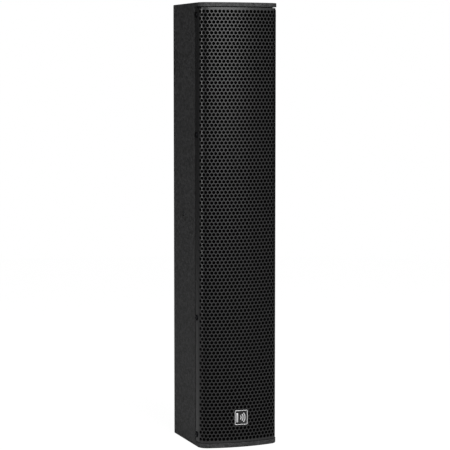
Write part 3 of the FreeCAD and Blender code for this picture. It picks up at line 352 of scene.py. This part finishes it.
ORANGE_PEEL = 900.0                    # faint ripples, 1.1 mm each
powder, tree = new_material("black_powder_coat")
coords = add_node(tree, "ShaderNodeTexCoord")
peel = add_node(tree, "ShaderNodeTexNoise", {"Scale": ORANGE_PEEL, "Detail": 2.0},
                {"Vector": coords.outputs["Object"]})
bump = add_node(tree, "ShaderNodeBump", {"Strength": 0.12, "Distance": 0.2 * MM},
                {"Height": peel.outputs["Fac"]})
rough = add_node(tree, "ShaderNodeMapRange", {"To Min": 0.3, "To Max": 0.42},
                 {"Value": peel.outputs["Fac"]})
shader = add_node(tree, "ShaderNodeBsdfPrincipled",
                  {"Base Color": linear("#101011"), "Specular IOR Level": 0.65},
                  {"Roughness": rough.outputs["Result"], "Normal": bump.outputs["Normal"]})
add_node(tree, "ShaderNodeOutputMaterial", links={"Surface": shader.outputs["BSDF"]})
grille.data.materials.clear()
grille.data.materials.append(powder)
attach(grille, "cabinet")
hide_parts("grille")


# ---------------------------------------------------------------- foam behind the grille
# A 5 mm sheet of open-cell foam, dyed black, glued inside the grille so that the drivers don't
# show. Its cut face is slightly uneven and takes almost no light.
FOAM = 5.0 * MM
FOAM_GAP = 0.15 * MM
FOAM_GRID = (72, 240)
foam_low, foam_high = (Vector(c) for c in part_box("grille_foam"))
foam_turn = math.acos((corner_depth - (foam_high.y - nose_y))
                      / (CORNER_RADIUS - SHEET - FOAM_GAP - FOAM))
foam_arc = front_arc + CORNER_RADIUS * (foam_turn - lean)
bpy.ops.mesh.primitive_grid_add(
    x_subdivisions=FOAM_GRID[0], y_subdivisions=FOAM_GRID[1], size=1.0,
    location=(0.0, 0.0, (foam_low.z + foam_high.z) / 2.0), rotation=UPRIGHT)
foam_sheet = bpy.context.object
foam_sheet.scale = (2.0 * foam_arc, foam_high.z - foam_low.z, 1.0)
foam_sheet.name = "grille_foam_sheet"
bpy.ops.object.transform_apply(location=True, rotation=True, scale=True)
for vertex in foam_sheet.data.vertices:
    across, back = bent_place(vertex.co.x, SHEET + FOAM_GAP)
    vertex.co.x = across
    vertex.co.y = nose_y + back
apply_modifier(foam_sheet, "SOLIDIFY", thickness=FOAM - FOAM_GAP, offset=-1.0)
bpy.ops.object.shade_smooth_by_angle(angle=SMOOTH)

FOAM_CELLS = 900.0                     # 1.1 mm each
foam, tree = new_material("black_open_cell_foam")
coords = add_node(tree, "ShaderNodeTexCoord")
cells = add_node(tree, "ShaderNodeTexVoronoi", {"Scale": FOAM_CELLS}, {"Vector": coords.outputs["Object"]})
bump = add_node(tree, "ShaderNodeBump", {"Strength": 0.6, "Distance": 0.6 * MM},
                {"Height": cells.outputs["Distance"]})
colour = add_node(tree, "ShaderNodeMix", {6: linear("#010101"), 7: linear("#060606")},
                  {0: cells.outputs["Distance"]}, data_type="RGBA")
shader = add_node(tree, "ShaderNodeBsdfPrincipled", {"Roughness": 0.95, "Specular IOR Level": 0.0},
                  {"Base Color": colour.outputs[2], "Normal": bump.outputs["Normal"]})
add_node(tree, "ShaderNodeOutputMaterial", links={"Surface": shader.outputs["BSDF"]})
foam_sheet.data.materials.append(foam)
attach(foam_sheet, "cabinet")
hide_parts("grille_foam")

# ---------------------------------------------------------------- painted cabinet
# Birch plywood panels under one coat of sprayed two-part paint, black, with a fine pebbled texture that
# runs over the glued joints. The pebbles are about 2 to 4 mm across. Their bumps catch the real light, and
# their colour is painted lighter on their tops and darker in the hollows between them: a painted highlight
# and painted shade.


def paint_nodes(material, *names):
    """Give carried-over nodes a finish, in all of their material slots."""
    for name in names:
        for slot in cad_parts[name].material_slots:
            slot.material = material


PEBBLES = 470.0                        # 2.1 mm each
CLUMPS = 240.0                         # 4.2 mm each
paint, tree = new_material("textured_cabinet_paint_with_painted_pebble_light")
coords = add_node(tree, "ShaderNodeTexCoord")
pebble = add_node(tree, "ShaderNodeTexNoise", {"Scale": PEBBLES, "Detail": 2.0, "Roughness": 0.6},
                  {"Vector": coords.outputs["Object"]})
clump = add_node(tree, "ShaderNodeTexNoise", {"Scale": CLUMPS, "Detail": 1.0},
                 {"Vector": coords.outputs["Object"]})
relief = add_node(tree, "ShaderNodeMath", links={0: pebble.outputs["Fac"], 1: clump.outputs["Fac"]},
                  operation="ADD")
bump = add_node(tree, "ShaderNodeBump", {"Strength": 1.0, "Distance": 0.6 * MM},
                {"Height": relief.outputs["Value"]})
# Painted shade and highlight: the colour goes from near black in the hollows between pebbles to grey on
# their raised tops.
pebble_shade_and_highlight = add_node(tree, "ShaderNodeMapRange", {"From Min": 0.78, "From Max": 1.24},
                {"Value": relief.outputs["Value"]})
colour = add_node(tree, "ShaderNodeMix", {6: linear("#060606"), 7: linear("#323233")},
                  {0: pebble_shade_and_highlight.outputs["Result"]}, data_type="RGBA")
shader = add_node(tree, "ShaderNodeBsdfPrincipled", {"Roughness": 0.62},
                  {"Base Color": colour.outputs[2], "Normal": bump.outputs["Normal"]})
add_node(tree, "ShaderNodeOutputMaterial", links={"Surface": shader.outputs["BSDF"]})
paint_nodes(paint, "top_panel", "bottom_panel", "side_panel_left", "side_panel_right", "rear_panel")

# ---------------------------------------------------------------- badge
# A small stamped plate glued low on the grille and curved with it: a bright satin rim and a
# raised sign of a column and three sound waves on a black enamelled field.
badge_low, badge_high = (Vector(c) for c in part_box("grille_badge"))
badge_middle = (badge_low + badge_high) / 2.0
badge_width = badge_high.x - badge_low.x
badge_height = badge_high.z - badge_low.z
BADGE_CORNER = 1.6 * MM
BADGE_RIM = 1.0 * MM
BADGE_FIELD = 0.3 * MM                 # how deep the field lies under the rim
BADGE_THICK = 0.68 * MM
BADGE_EDGE = 0.08 * MM                 # bevel round every sharp edge
FRONTWARD = -0.9                       # a face looks to the front if its normal's y is under this
SIGN_SUNK = 0.05 * MM                  # the sign's strokes stand in the field by this
SIGN_RELIEF = 0.3 * MM
WAVE_CENTRE = -5.6 * MM                # across the badge from its middle
WAVE_RADII = [5.2 * MM, 8.7 * MM, 12.2 * MM]
WAVE_STROKE = 1.7 * MM
WAVE_ANGLE = math.radians(38.0)        # each side of level
COLUMN_WIDTH = 3.2 * MM
COLUMN_HEIGHT = 15.6 * MM


def select_faces(obj, test):
    """In edit mode, select just the faces that pass a test."""
    bpy.ops.object.mode_set(mode="EDIT")
    bpy.ops.mesh.select_mode(type="FACE")
    bpy.ops.mesh.select_all(action="DESELECT")
    bpy.ops.object.mode_set(mode="OBJECT")
    for face in obj.data.polygons:
        face.select = test(face)
    bpy.ops.object.mode_set(mode="EDIT")


def thicken(obj, depth):
    """Give a flat piece its thickness, towards the front."""
    select_faces(obj, lambda face: True)
    bpy.ops.mesh.extrude_region_move(TRANSFORM_OT_translate={"value": (0.0, -depth, 0.0)})
    bpy.ops.mesh.select_all(action="SELECT")
    bpy.ops.mesh.normals_make_consistent(inside=False)
    bpy.ops.object.mode_set(mode="OBJECT")


def rounded_plate(name, x, y, width, height, corner):
    """An upright flat plate with rounded corners, placed from the middle of the badge."""
    bpy.ops.mesh.primitive_plane_add(
        size=1.0, location=(badge_middle.x + x, y, badge_middle.z), rotation=UPRIGHT)
    plate = bpy.context.object
    plate.name = name
    plate.scale = (width, height, 1.0)
    bpy.ops.object.transform_apply(location=True, rotation=True, scale=True)
    bpy.ops.object.mode_set(mode="EDIT")
    bpy.ops.mesh.select_all(action="SELECT")
    bpy.ops.mesh.bevel(offset=corner, offset_type="OFFSET", segments=5, affect="VERTICES")
    bpy.ops.object.mode_set(mode="OBJECT")
    return plate


badge = rounded_plate("badge_plate", 0.0, BADGE_THICK, badge_width, badge_height, BADGE_CORNER)
thicken(badge, BADGE_THICK)
select_faces(badge, lambda face: face.normal.y < FRONTWARD)
bpy.ops.mesh.inset(thickness=BADGE_RIM)
bpy.ops.mesh.extrude_region_move(TRANSFORM_OT_translate={"value": (0.0, BADGE_FIELD, 0.0)})
bpy.ops.object.mode_set(mode="OBJECT")
for face in badge.data.polygons:
    face.material_index = 1 if face.normal.y < FRONTWARD and face.center.y > BADGE_FIELD / 2.0 else 0

hub_x = badge_middle.x + WAVE_CENTRE
strokes = [rounded_plate("badge_sign_column", WAVE_CENTRE - COLUMN_WIDTH / 2.0, BADGE_FIELD + SIGN_SUNK,
                         COLUMN_WIDTH, COLUMN_HEIGHT, COLUMN_WIDTH / 4.0)]
thicken(strokes[0], SIGN_RELIEF)
for number, radius in enumerate(WAVE_RADII):
    bpy.ops.mesh.primitive_circle_add(
        vertices=120, radius=radius + WAVE_STROKE / 2.0, fill_type="NGON",
        location=(hub_x, BADGE_FIELD + SIGN_SUNK, badge_middle.z), rotation=UPRIGHT)
    wave = bpy.context.object
    wave.name = "badge_sign_wave_%d" % number
    bpy.ops.object.transform_apply(location=True, rotation=True, scale=True)
    select_faces(wave, lambda face: True)
    bpy.ops.mesh.inset(thickness=WAVE_STROKE)
    bpy.ops.object.mode_set(mode="OBJECT")
    select_faces(wave, lambda face: len(face.vertices) > 4 or WAVE_ANGLE < abs(
        math.atan2(face.center.z - badge_middle.z, face.center.x - hub_x)))
    bpy.ops.mesh.delete(type="FACE")
    bpy.ops.object.mode_set(mode="OBJECT")
    thicken(wave, SIGN_RELIEF)
    strokes.append(wave)

# Satin-polished aluminium, with brush marks 0.3 mm apart that run across.
BRUSH_MARKS = 3000.0                   # 0.3 mm each
satin, tree = new_material("satin_aluminium")
coords = add_node(tree, "ShaderNodeTexCoord")
stretch = add_node(tree, "ShaderNodeMapping", {"Scale": (0.05, 1.0, 1.0)},
                   {"Vector": coords.outputs["Object"]})
brush = add_node(tree, "ShaderNodeTexNoise", {"Scale": BRUSH_MARKS, "Detail": 2.0},
                 {"Vector": stretch.outputs["Vector"]})
rough = add_node(tree, "ShaderNodeMapRange", {"To Min": 0.3, "To Max": 0.45},
                 {"Value": brush.outputs["Fac"]})
bump = add_node(tree, "ShaderNodeBump", {"Strength": 0.1, "Distance": 0.05 * MM},
                {"Height": brush.outputs["Fac"]})
shader = add_node(tree, "ShaderNodeBsdfPrincipled", {"Base Color": linear("#F4F4F5"), "Metallic": 1.0},
                  {"Roughness": rough.outputs["Result"], "Normal": bump.outputs["Normal"]})
add_node(tree, "ShaderNodeOutputMaterial", links={"Surface": shader.outputs["BSDF"]})


def grained(name, dark, light, grain, rough, relief, metallic=0.0):
    """A finish with an even fine grain: its two colours, the size of its grain, the range of its
    roughness, and how high the grain stands. Most grains here are coarser than the real ones, so
    that they show."""
    material, tree = new_material(name)
    coords = add_node(tree, "ShaderNodeTexCoord")
    noise = add_node(tree, "ShaderNodeTexNoise", {"Scale": 1.0 / grain, "Detail": 3.0},
                     {"Vector": coords.outputs["Object"]})
    spread = add_node(tree, "ShaderNodeMapRange", {"From Min": 0.35, "From Max": 0.65},
                      {"Value": noise.outputs["Fac"]})
    colour = add_node(tree, "ShaderNodeMix", {6: linear(dark), 7: linear(light)},
                      {0: spread.outputs["Result"]}, data_type="RGBA")
    roughness = add_node(tree, "ShaderNodeMapRange", {"To Min": rough[0], "To Max": rough[1]},
                         {"Value": spread.outputs["Result"]})
    bump = add_node(tree, "ShaderNodeBump", {"Strength": 0.8, "Distance": relief},
                    {"Height": noise.outputs["Fac"]})
    shader = add_node(tree, "ShaderNodeBsdfPrincipled", {"Metallic": metallic},
                      {"Base Color": colour.outputs[2], "Roughness": roughness.outputs["Result"],
                       "Normal": bump.outputs["Normal"]})
    add_node(tree, "ShaderNodeOutputMaterial", links={"Surface": shader.outputs["BSDF"]})
    return material


# Stoved black enamel, glossy and slightly uneven.
enamel = grained("black_stoved_enamel", "#050506", "#0C0C0D", 1.5 * MM, (0.2, 0.35), 0.02 * MM)
badge.data.materials.append(satin)
badge.data.materials.append(enamel)
for stroke in strokes:
    stroke.data.materials.append(satin)
badge = join_pieces([badge] + strokes)
for vertex in badge.data.vertices:
    curve = FRONT_RADIUS - math.sqrt(FRONT_RADIUS ** 2 - vertex.co.x ** 2)
    vertex.co.y += badge_low.y + curve
apply_modifier(badge, "BEVEL", width=BADGE_EDGE, segments=2, limit_method="ANGLE")
bpy.ops.object.shade_smooth_by_angle(angle=SMOOTH)
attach(badge, "cabinet")
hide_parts("grille_badge")

# ---------------------------------------------------------------- screws and inserts
# Pan-head screws, chemically blackened and oiled, hold the grille's flanges, the drivers, the
# ports, the dish and the sockets: dark metal with a soft gleam on the rounded heads.
black_oxide = grained("black_oxide_steel", "#0E0E10", "#1E1E21", 0.7 * MM, (0.34, 0.5), 0.02 * MM, 1.0)
paint_nodes(black_oxide, "grille_screws", "driver_screws", "port_screws", "dish_screws", "socket_screws")

# Flanged threaded inserts and the board's screws, turned from steel and zinc-plated: pale grey,
# a little cloudy.
zinc = grained("zinc_plated_steel", "#8F9398", "#C2C5C9", 1.4 * MM, (0.28, 0.5), 0.03 * MM, 1.0)
paint_nodes(zinc, "side_inserts", "rear_inserts", "board_screws")

# ---------------------------------------------------------------- baffle and braces
# The baffle is birch plywood under a thin coat of matt black, so that nothing behind the grille
# shines; the two window braces stay bare, with pale and dark plies at their edges.
thin_paint = grained("matt_black_baffle_paint", "#080808", "#131313", 1.6 * MM, (0.8, 0.95), 0.12 * MM)
paint_nodes(thin_paint, "front_baffle")

PLY = 1.5 * MM                         # the bands of a wave are pi / (10 x its scale) apart
WOOD_FIBRES = 900.0                    # 1.1 mm each
plywood, tree = new_material("birch_plywood")
coords = add_node(tree, "ShaderNodeTexCoord")
stretch = add_node(tree, "ShaderNodeMapping", {"Scale": (0.06, 1.0, 1.0)},
                   {"Vector": coords.outputs["Object"]})
fibre = add_node(tree, "ShaderNodeTexNoise", {"Scale": WOOD_FIBRES, "Detail": 4.0},
                 {"Vector": stretch.outputs["Vector"]})
plies = add_node(tree, "ShaderNodeTexWave", {"Scale": math.pi / (10.0 * PLY), "Distortion": 0.4},
                 {"Vector": coords.outputs["Object"]}, wave_type="BANDS", bands_direction="Z")
wood = add_node(tree, "ShaderNodeMix", {6: linear("#B58F5E"), 7: linear("#D9BC8C")},
                {0: fibre.outputs["Fac"]}, data_type="RGBA")
edge = add_node(tree, "ShaderNodeMix", {0: 0.3},
                {6: wood.outputs[2], 7: plies.outputs["Color"]}, data_type="RGBA", blend_type="MULTIPLY")
bump = add_node(tree, "ShaderNodeBump", {"Strength": 0.4, "Distance": 0.1 * MM},
                {"Height": fibre.outputs["Fac"]})
shader = add_node(tree, "ShaderNodeBsdfPrincipled", {"Roughness": 0.7},
                  {"Base Color": edge.outputs[2], "Normal": bump.outputs["Normal"]})
add_node(tree, "ShaderNodeOutputMaterial", links={"Surface": shader.outputs["BSDF"]})
paint_nodes(plywood, "lower_brace", "upper_brace")

# ---------------------------------------------------------------- cone drivers
# Each has a die-cast basket with a stoved epoxy coat, a cone and dust cap of pressed paper pulp,
# a butyl rubber half roll, a resin-dipped cloth spider and a foam gasket on its flange.
WOOFERS = [1, 2, 3, 4]
cast = grained("epoxy_coated_casting", "#0E0E0F", "#1C1C1D", 1.2 * MM, (0.45, 0.6), 0.15 * MM)
pulp = grained("pressed_paper_pulp", "#11100F", "#2A2825", 1.8 * MM, (0.8, 0.95), 0.25 * MM)
butyl = grained("butyl_rubber", "#080808", "#131313", 0.8 * MM, (0.5, 0.65), 0.05 * MM)
gasket = grained("closed_cell_foam", "#0D0D0D", "#1B1B1B", 0.9 * MM, (0.85, 0.95), 0.2 * MM)
paint_nodes(cast, *["woofer_%d_basket" % k for k in WOOFERS])
paint_nodes(pulp, *["woofer_%d_cone" % k for k in WOOFERS])
paint_nodes(gasket, "woofer_gaskets", "dish_gasket")

# The spider is open cotton cloth with 0.7 mm between its threads, amber from phenolic resin.
THREAD = 0.7 * MM
cloth, tree = new_material("resin_dipped_cotton")
coords = add_node(tree, "ShaderNodeTexCoord")
warp = add_node(tree, "ShaderNodeTexWave", {"Scale": math.pi / (10.0 * THREAD)},
                {"Vector": coords.outputs["Object"]}, wave_type="BANDS", bands_direction="X")
weft = add_node(tree, "ShaderNodeTexWave", {"Scale": math.pi / (10.0 * THREAD)},
                {"Vector": coords.outputs["Object"]}, wave_type="BANDS", bands_direction="Z")
weave = add_node(tree, "ShaderNodeMath", links={0: warp.outputs["Fac"], 1: weft.outputs["Fac"]},
                 operation="MAXIMUM")
colour = add_node(tree, "ShaderNodeMix", {6: linear("#6E4A1C"), 7: linear("#B98A45")},
                  {0: weave.outputs["Value"]}, data_type="RGBA")
bump = add_node(tree, "ShaderNodeBump", {"Strength": 0.7, "Distance": 0.2 * MM},
                {"Height": weave.outputs["Value"]})
shader = add_node(tree, "ShaderNodeBsdfPrincipled", {"Roughness": 0.65},
                  {"Base Color": colour.outputs[2], "Normal": bump.outputs["Normal"]})
add_node(tree, "ShaderNodeOutputMaterial", links={"Surface": shader.outputs["BSDF"]})

# ---------------------------------------------------------------- cone suspensions
# The surround's half roll stays on the basket, and its neck reaches back to the edge of the cone. The
# spider is flat and is made in four quarters.
MERGE = 0.001 * MM
QUARTERS = 4
QUARTER = math.pi / 2.0
SPIDER_WAVES = 4
SPIDER_WALL = 0.6 * MM
SPIDER_SWING = 1.1 * MM                # height of a wave
SPIDER_BORE = 13.05 * MM
SPIDER_COLLAR = 14.05 * MM             # the waves start at this radius
SPIDER_LEDGE = 3.0 * MM                # glued to the basket, at the rim
WAVE_PARTS = 12                        # profile steps in one wave
QUARTER_STEPS = 20

for k in WOOFERS:
    woofer = "woofer_%d_" % k
    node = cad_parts[woofer + "surround"]
    surround = bpy.data.objects.new(woofer + "surround_roll", node.data.copy())
    bpy.context.scene.collection.objects.link(surround)
    bpy.ops.object.select_all(action="DESELECT")
    bpy.context.view_layer.objects.active = surround
    surround.select_set(True)
    bpy.ops.object.mode_set(mode="EDIT")
    bpy.ops.mesh.select_all(action="SELECT")
    bpy.ops.mesh.remove_doubles(threshold=MERGE)
    bpy.ops.object.mode_set(mode="OBJECT")
    bpy.ops.object.shade_smooth_by_angle(angle=SMOOTH)
    surround.data.materials.clear()
    surround.data.materials.append(butyl)
    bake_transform(surround)
    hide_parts(woofer + "surround")

    spider_low, spider_high = (Vector(c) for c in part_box(woofer + "spider"))
    axis = Vector((0.0, (spider_low.y + spider_high.y) / 2.0, (spider_low.z + spider_high.z) / 2.0))
    rim = (spider_high.x - spider_low.x) / 2.0
    ledge = rim - SPIDER_LEDGE
    radii = [SPIDER_BORE, SPIDER_COLLAR]
    radii += [SPIDER_COLLAR + (ledge - SPIDER_COLLAR) * i / (SPIDER_WAVES * WAVE_PARTS)
              for i in range(1, SPIDER_WAVES * WAVE_PARTS + 1)] + [rim]
    for quarter in range(QUARTERS):
        bpy.ops.mesh.primitive_grid_add(x_subdivisions=len(radii) - 1, y_subdivisions=1, size=1.0)
        spider = bpy.context.object
        spider.name = woofer + "spider_quarter_%d" % quarter
        for vertex in spider.data.vertices:
            radius = radii[round((vertex.co.x + 0.5) * (len(radii) - 1))]
            wave = (radius - SPIDER_COLLAR) / (ledge - SPIDER_COLLAR) * SPIDER_WAVES
            swing = SPIDER_SWING * math.sin(math.pi * wave) if 0.0 < wave < SPIDER_WAVES else 0.0
            back = SPIDER_WALL if vertex.co.y > 0.0 else 0.0
            vertex.co = (radius, spider_low.y + SPIDER_SWING - swing + back, axis.z)
        bpy.ops.object.mode_set(mode="EDIT")
        bpy.ops.mesh.select_all(action="SELECT")
        bpy.ops.transform.rotate(value=QUARTER * quarter, orient_axis="Y", center_override=axis)
        bpy.ops.mesh.spin(steps=QUARTER_STEPS, angle=QUARTER, center=axis, axis=(0.0, 1.0, 0.0))
        bpy.ops.mesh.select_all(action="SELECT")
        bpy.ops.mesh.remove_doubles(threshold=MERGE)
        bpy.ops.mesh.normals_make_consistent(inside=False)
        bpy.ops.object.mode_set(mode="OBJECT")
        bpy.ops.object.shade_smooth_by_angle(angle=SMOOTH)
        spider.data.materials.append(cloth)
        middle = sum((v.co for v in spider.data.vertices), Vector()) / len(spider.data.vertices) - axis
        middle.y = 0.0
        middle.normalize()
        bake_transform(spider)
        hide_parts(woofer + "spider")

# Enamelled copper wire, wound tight, over the whole voice coil and the crossover's coils. Each turn
# is 0.5 mm wide, coarser than on a real voice coil, so that it shows.
TURN = 0.5 * MM
TARNISH = 250.0                        # clouds, 4 mm each
copper, tree = new_material("enamelled_copper_wire")
coords = add_node(tree, "ShaderNodeTexCoord")
turns = add_node(tree, "ShaderNodeTexWave", {"Scale": math.pi / (10.0 * TURN)},
                 {"Vector": coords.outputs["Object"]}, wave_type="BANDS", bands_direction="Y")
cloud = add_node(tree, "ShaderNodeTexNoise", {"Scale": TARNISH}, {"Vector": coords.outputs["Object"]})
colour = add_node(tree, "ShaderNodeMix", {6: linear("#8A4A22"), 7: linear("#C9793F")},
                  {0: cloud.outputs["Fac"]}, data_type="RGBA")
bump = add_node(tree, "ShaderNodeBump", {"Strength": 0.9, "Distance": 0.25 * MM},
                {"Height": turns.outputs["Fac"]})
shader = add_node(tree, "ShaderNodeBsdfPrincipled", {"Metallic": 1.0, "Roughness": 0.3},
                  {"Base Color": colour.outputs[2], "Normal": bump.outputs["Normal"]})
add_node(tree, "ShaderNodeOutputMaterial", links={"Surface": shader.outputs["BSDF"]})
paint_nodes(copper, *["woofer_%d_voice_coil" % k for k in WOOFERS])

# The magnet system: a dark grey sintered ferrite ring between two zinc-plated steel plates.
magnet_low, magnet_high = (Vector(c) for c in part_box("woofer_1_magnet"))
PLATE = 5.0 * MM
ring_middle = (magnet_low.y + magnet_high.y) / 2.0
ring_half = (magnet_high.y - magnet_low.y) / 2.0 - PLATE
GRIT = 900.0                           # 1.1 mm each
magnet, tree = new_material("ferrite_and_plated_steel")
coords = add_node(tree, "ShaderNodeTexCoord")
parts = add_node(tree, "ShaderNodeSeparateXYZ", links={"Vector": coords.outputs["Object"]})
off = add_node(tree, "ShaderNodeMath", {1: ring_middle}, {0: parts.outputs["Y"]}, operation="SUBTRACT")
away = add_node(tree, "ShaderNodeMath", links={0: off.outputs["Value"]}, operation="ABSOLUTE")
plate = add_node(tree, "ShaderNodeMath", {1: ring_half}, {0: away.outputs["Value"]},
                 operation="GREATER_THAN")
grit = add_node(tree, "ShaderNodeTexNoise", {"Scale": GRIT, "Detail": 3.0},
                {"Vector": coords.outputs["Object"]})
ferrite = add_node(tree, "ShaderNodeMix", {6: linear("#242527"), 7: linear("#3D3E41")},
                   {0: grit.outputs["Fac"]}, data_type="RGBA")
colour = add_node(tree, "ShaderNodeMix", {7: linear("#AEB2B7")},
                  {0: plate.outputs["Value"], 6: ferrite.outputs[2]}, data_type="RGBA")
rough = add_node(tree, "ShaderNodeMapRange", {"To Min": 0.4, "To Max": 0.65},
                 {"Value": grit.outputs["Fac"]})
bump = add_node(tree, "ShaderNodeBump", {"Strength": 0.4, "Distance": 0.08 * MM},
                {"Height": grit.outputs["Fac"]})
shader = add_node(tree, "ShaderNodeBsdfPrincipled",
                  links={"Base Color": colour.outputs[2], "Metallic": plate.outputs["Value"],
                         "Roughness": rough.outputs["Result"], "Normal": bump.outputs["Normal"]})
add_node(tree, "ShaderNodeOutputMaterial", links={"Surface": shader.outputs["BSDF"]})
paint_nodes(magnet, *["woofer_%d_magnet" % k for k in WOOFERS])

# ---------------------------------------------------------------- horn, its driver and the ports
# Horn and ports are injection-moulded ABS, black, spark-eroded to a fine even grain. The driver
# behind the horn has a ferrite magnet, a drawn titanium diaphragm and a painted steel cover.
abs_plastic = grained("moulded_black_abs", "#0D0D0E", "#171718", 0.6 * MM, (0.42, 0.58), 0.05 * MM)
bare_ferrite = grained("sintered_ferrite", "#242527", "#3D3E41", 1.1 * MM, (0.5, 0.7), 0.08 * MM)
titanium = grained("drawn_titanium_foil", "#85868A", "#A9AAAB", 2.0 * MM, (0.3, 0.45), 0.02 * MM, 1.0)
black_steel = grained("black_painted_steel", "#0E0E0F", "#1B1B1C", 1.0 * MM, (0.4, 0.55), 0.04 * MM)
paint_nodes(abs_plastic, "horn", "lower_port", "upper_port")
paint_nodes(bare_ferrite, "horn_driver_magnet")
paint_nodes(titanium, "horn_driver_diaphragm")
paint_nodes(black_steel, "horn_driver_cover")

# ---------------------------------------------------------------- connector dish and sockets
# The dish is moulded ABS with a coarser leather grain, sunk flush in the back. Its two sockets
# are glass-filled nylon, smoother, each with four tinned brass contacts round its core.
dish_plastic = grained("leather_grained_abs", "#121213", "#1F1F20", 1.3 * MM, (0.45, 0.62), 0.14 * MM)
nylon = grained("glass_filled_nylon", "#09090A", "#141416", 0.9 * MM, (0.26, 0.42), 0.03 * MM)
paint_nodes(dish_plastic, "connector_dish")
paint_nodes(nylon, "input_socket", "link_socket")

CONTACT_RADIUS = 6.3 * MM              # of the middle of a contact from the axis of its socket
CONTACT_SIZE = (3.2 * MM, 11.0 * MM, 0.8 * MM)
CONTACT_SETBACK = 4.0 * MM             # under the face of the socket
CONTACT_EDGE = 0.25 * MM
contacts = []
for name in ("input_socket", "link_socket"):
    socket_low, socket_high = (Vector(c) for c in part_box(name))
    axis_z = (socket_low.z + socket_high.z) / 2.0
    middle_y = socket_high.y - CONTACT_SETBACK - CONTACT_SIZE[1] / 2.0
    for quarter in range(QUARTERS):
        bpy.ops.mesh.primitive_cube_add(size=1.0, location=(0.0, middle_y, axis_z + CONTACT_RADIUS))
        contact = bpy.context.object
        contact.scale = CONTACT_SIZE
        contact.name = "%s_contact_%d" % (name, quarter)
        bpy.ops.object.transform_apply(location=True, rotation=True, scale=True)
        bpy.ops.object.mode_set(mode="EDIT")
        bpy.ops.mesh.select_all(action="SELECT")
        bpy.ops.transform.rotate(value=QUARTER * (quarter + 0.5), orient_axis="Y",
                                 center_override=(0.0, middle_y, axis_z))
        bpy.ops.object.mode_set(mode="OBJECT")
        apply_modifier(contact, "BEVEL", width=CONTACT_EDGE, segments=2)
        contacts.append(contact)
contacts = join_pieces(contacts)
contacts.name = "socket_contacts"
tinned = grained("tinned_brass", "#9B9A92", "#C9C8C0", 0.8 * MM, (0.3, 0.45), 0.02 * MM, 1.0)
contacts.data.materials.append(tinned)
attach(contacts, "cabinet")

# ---------------------------------------------------------------- crossover
# A glass-fibre board with green solder mask on nylon stand-offs, two copper coils, two film
# capacitors wrapped in dark red polyester, and a cement resistor.
laminate = grained("green_solder_mask", "#0B3319", "#17502B", 1.5 * MM, (0.3, 0.45), 0.03 * MM)
plain_nylon = grained("natural_nylon", "#CFCABB", "#E4E0D4", 1.2 * MM, (0.45, 0.6), 0.02 * MM)
film = grained("polyester_film_wrap", "#741C13", "#8E281C", 2.0 * MM, (0.22, 0.35), 0.03 * MM)
cement = grained("cement_filled_ceramic", "#BDB9AE", "#DAD6CC", 0.9 * MM, (0.8, 0.95), 0.2 * MM)
paint_nodes(laminate, "crossover_board")
paint_nodes(plain_nylon, "board_standoffs")
paint_nodes(copper, "crossover_inductors")
paint_nodes(film, "crossover_capacitors")
paint_nodes(cement, "crossover_resistor")

# ---------------------------------------------------------------- damping wadding
# A pad of white polyester wadding, stapled to the rear panel behind the upper cone drivers: soft,
# crowned towards the front, with rounded edges and an uneven, tufted face.
pad_low, pad_high = (Vector(c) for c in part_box("damping_wadding"))
pad_size = pad_high - pad_low
pad_middle = (pad_low + pad_high) / 2.0
TUFT = 2.5 * MM                        # height of the tufts
TUFT_WIDTH = 14.0 * MM
PAD_CUTS = 40
SIDE_FALL = 0.45                       # share of its thickness that the pad loses at its sides
END_FALL = 0.35                        # and at its ends
bpy.ops.mesh.primitive_cube_add(size=1.0, location=pad_middle)
pad = bpy.context.object
pad.name = "wadding_pad"
pad.scale = pad_size
bpy.ops.object.transform_apply(location=True, rotation=True, scale=True)
bpy.ops.object.mode_set(mode="EDIT")
bpy.ops.mesh.select_all(action="SELECT")
bpy.ops.mesh.subdivide(number_cuts=PAD_CUTS)
bpy.ops.object.mode_set(mode="OBJECT")
for vertex in pad.data.vertices:
    across = abs(vertex.co.x - pad_middle.x) / (pad_size.x / 2.0)
    up = abs(vertex.co.z - pad_middle.z) / (pad_size.z / 2.0)
    forward = (pad_high.y - vertex.co.y) / pad_size.y
    crown = 1.0 - SIDE_FALL * across ** 4
    fall = crown - END_FALL * up ** 10 * crown
    pull = forward ** 2 * TUFT
    vertex.co.x -= math.copysign(pull * across, vertex.co.x - pad_middle.x)
    vertex.co.z -= math.copysign(pull * up, vertex.co.z - pad_middle.z)
    vertex.co.y = pad_high.y - forward * (pad_size.y * fall - TUFT)
tufts = bpy.data.textures.new("wadding_tufts", "CLOUDS")
tufts.noise_scale = TUFT_WIDTH
front_points = pad.vertex_groups.new(name="face")
front_points.add([v.index for v in pad.data.vertices if v.co.y < pad_middle.y], 1.0, "REPLACE")
apply_modifier(pad, "DISPLACE", texture=tufts, strength=TUFT, mid_level=0.5, vertex_group="face",
               texture_coords="LOCAL")
bpy.ops.object.shade_smooth()

STRANDS = 350.0                        # 2.9 mm each
wool, tree = new_material("polyester_wadding")
coords = add_node(tree, "ShaderNodeTexCoord")
strands = add_node(tree, "ShaderNodeTexNoise", {"Scale": STRANDS, "Detail": 5.0, "Distortion": 2.5},
                   {"Vector": coords.outputs["Object"]})
colour = add_node(tree, "ShaderNodeMix", {6: linear("#BFC0BD"), 7: linear("#F2F2EF")},
                  {0: strands.outputs["Fac"]}, data_type="RGBA")
bump = add_node(tree, "ShaderNodeBump", {"Strength": 0.9, "Distance": 1.2 * MM},
                {"Height": strands.outputs["Fac"]})
shader = add_node(tree, "ShaderNodeBsdfPrincipled", {"Roughness": 0.95, "Sheen Weight": 0.4},
                  {"Base Color": colour.outputs[2], "Normal": bump.outputs["Normal"]})
add_node(tree, "ShaderNodeOutputMaterial", links={"Surface": shader.outputs["BSDF"]})
pad.data.materials.append(wool)
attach(pad, "cabinet")
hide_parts("damping_wadding")
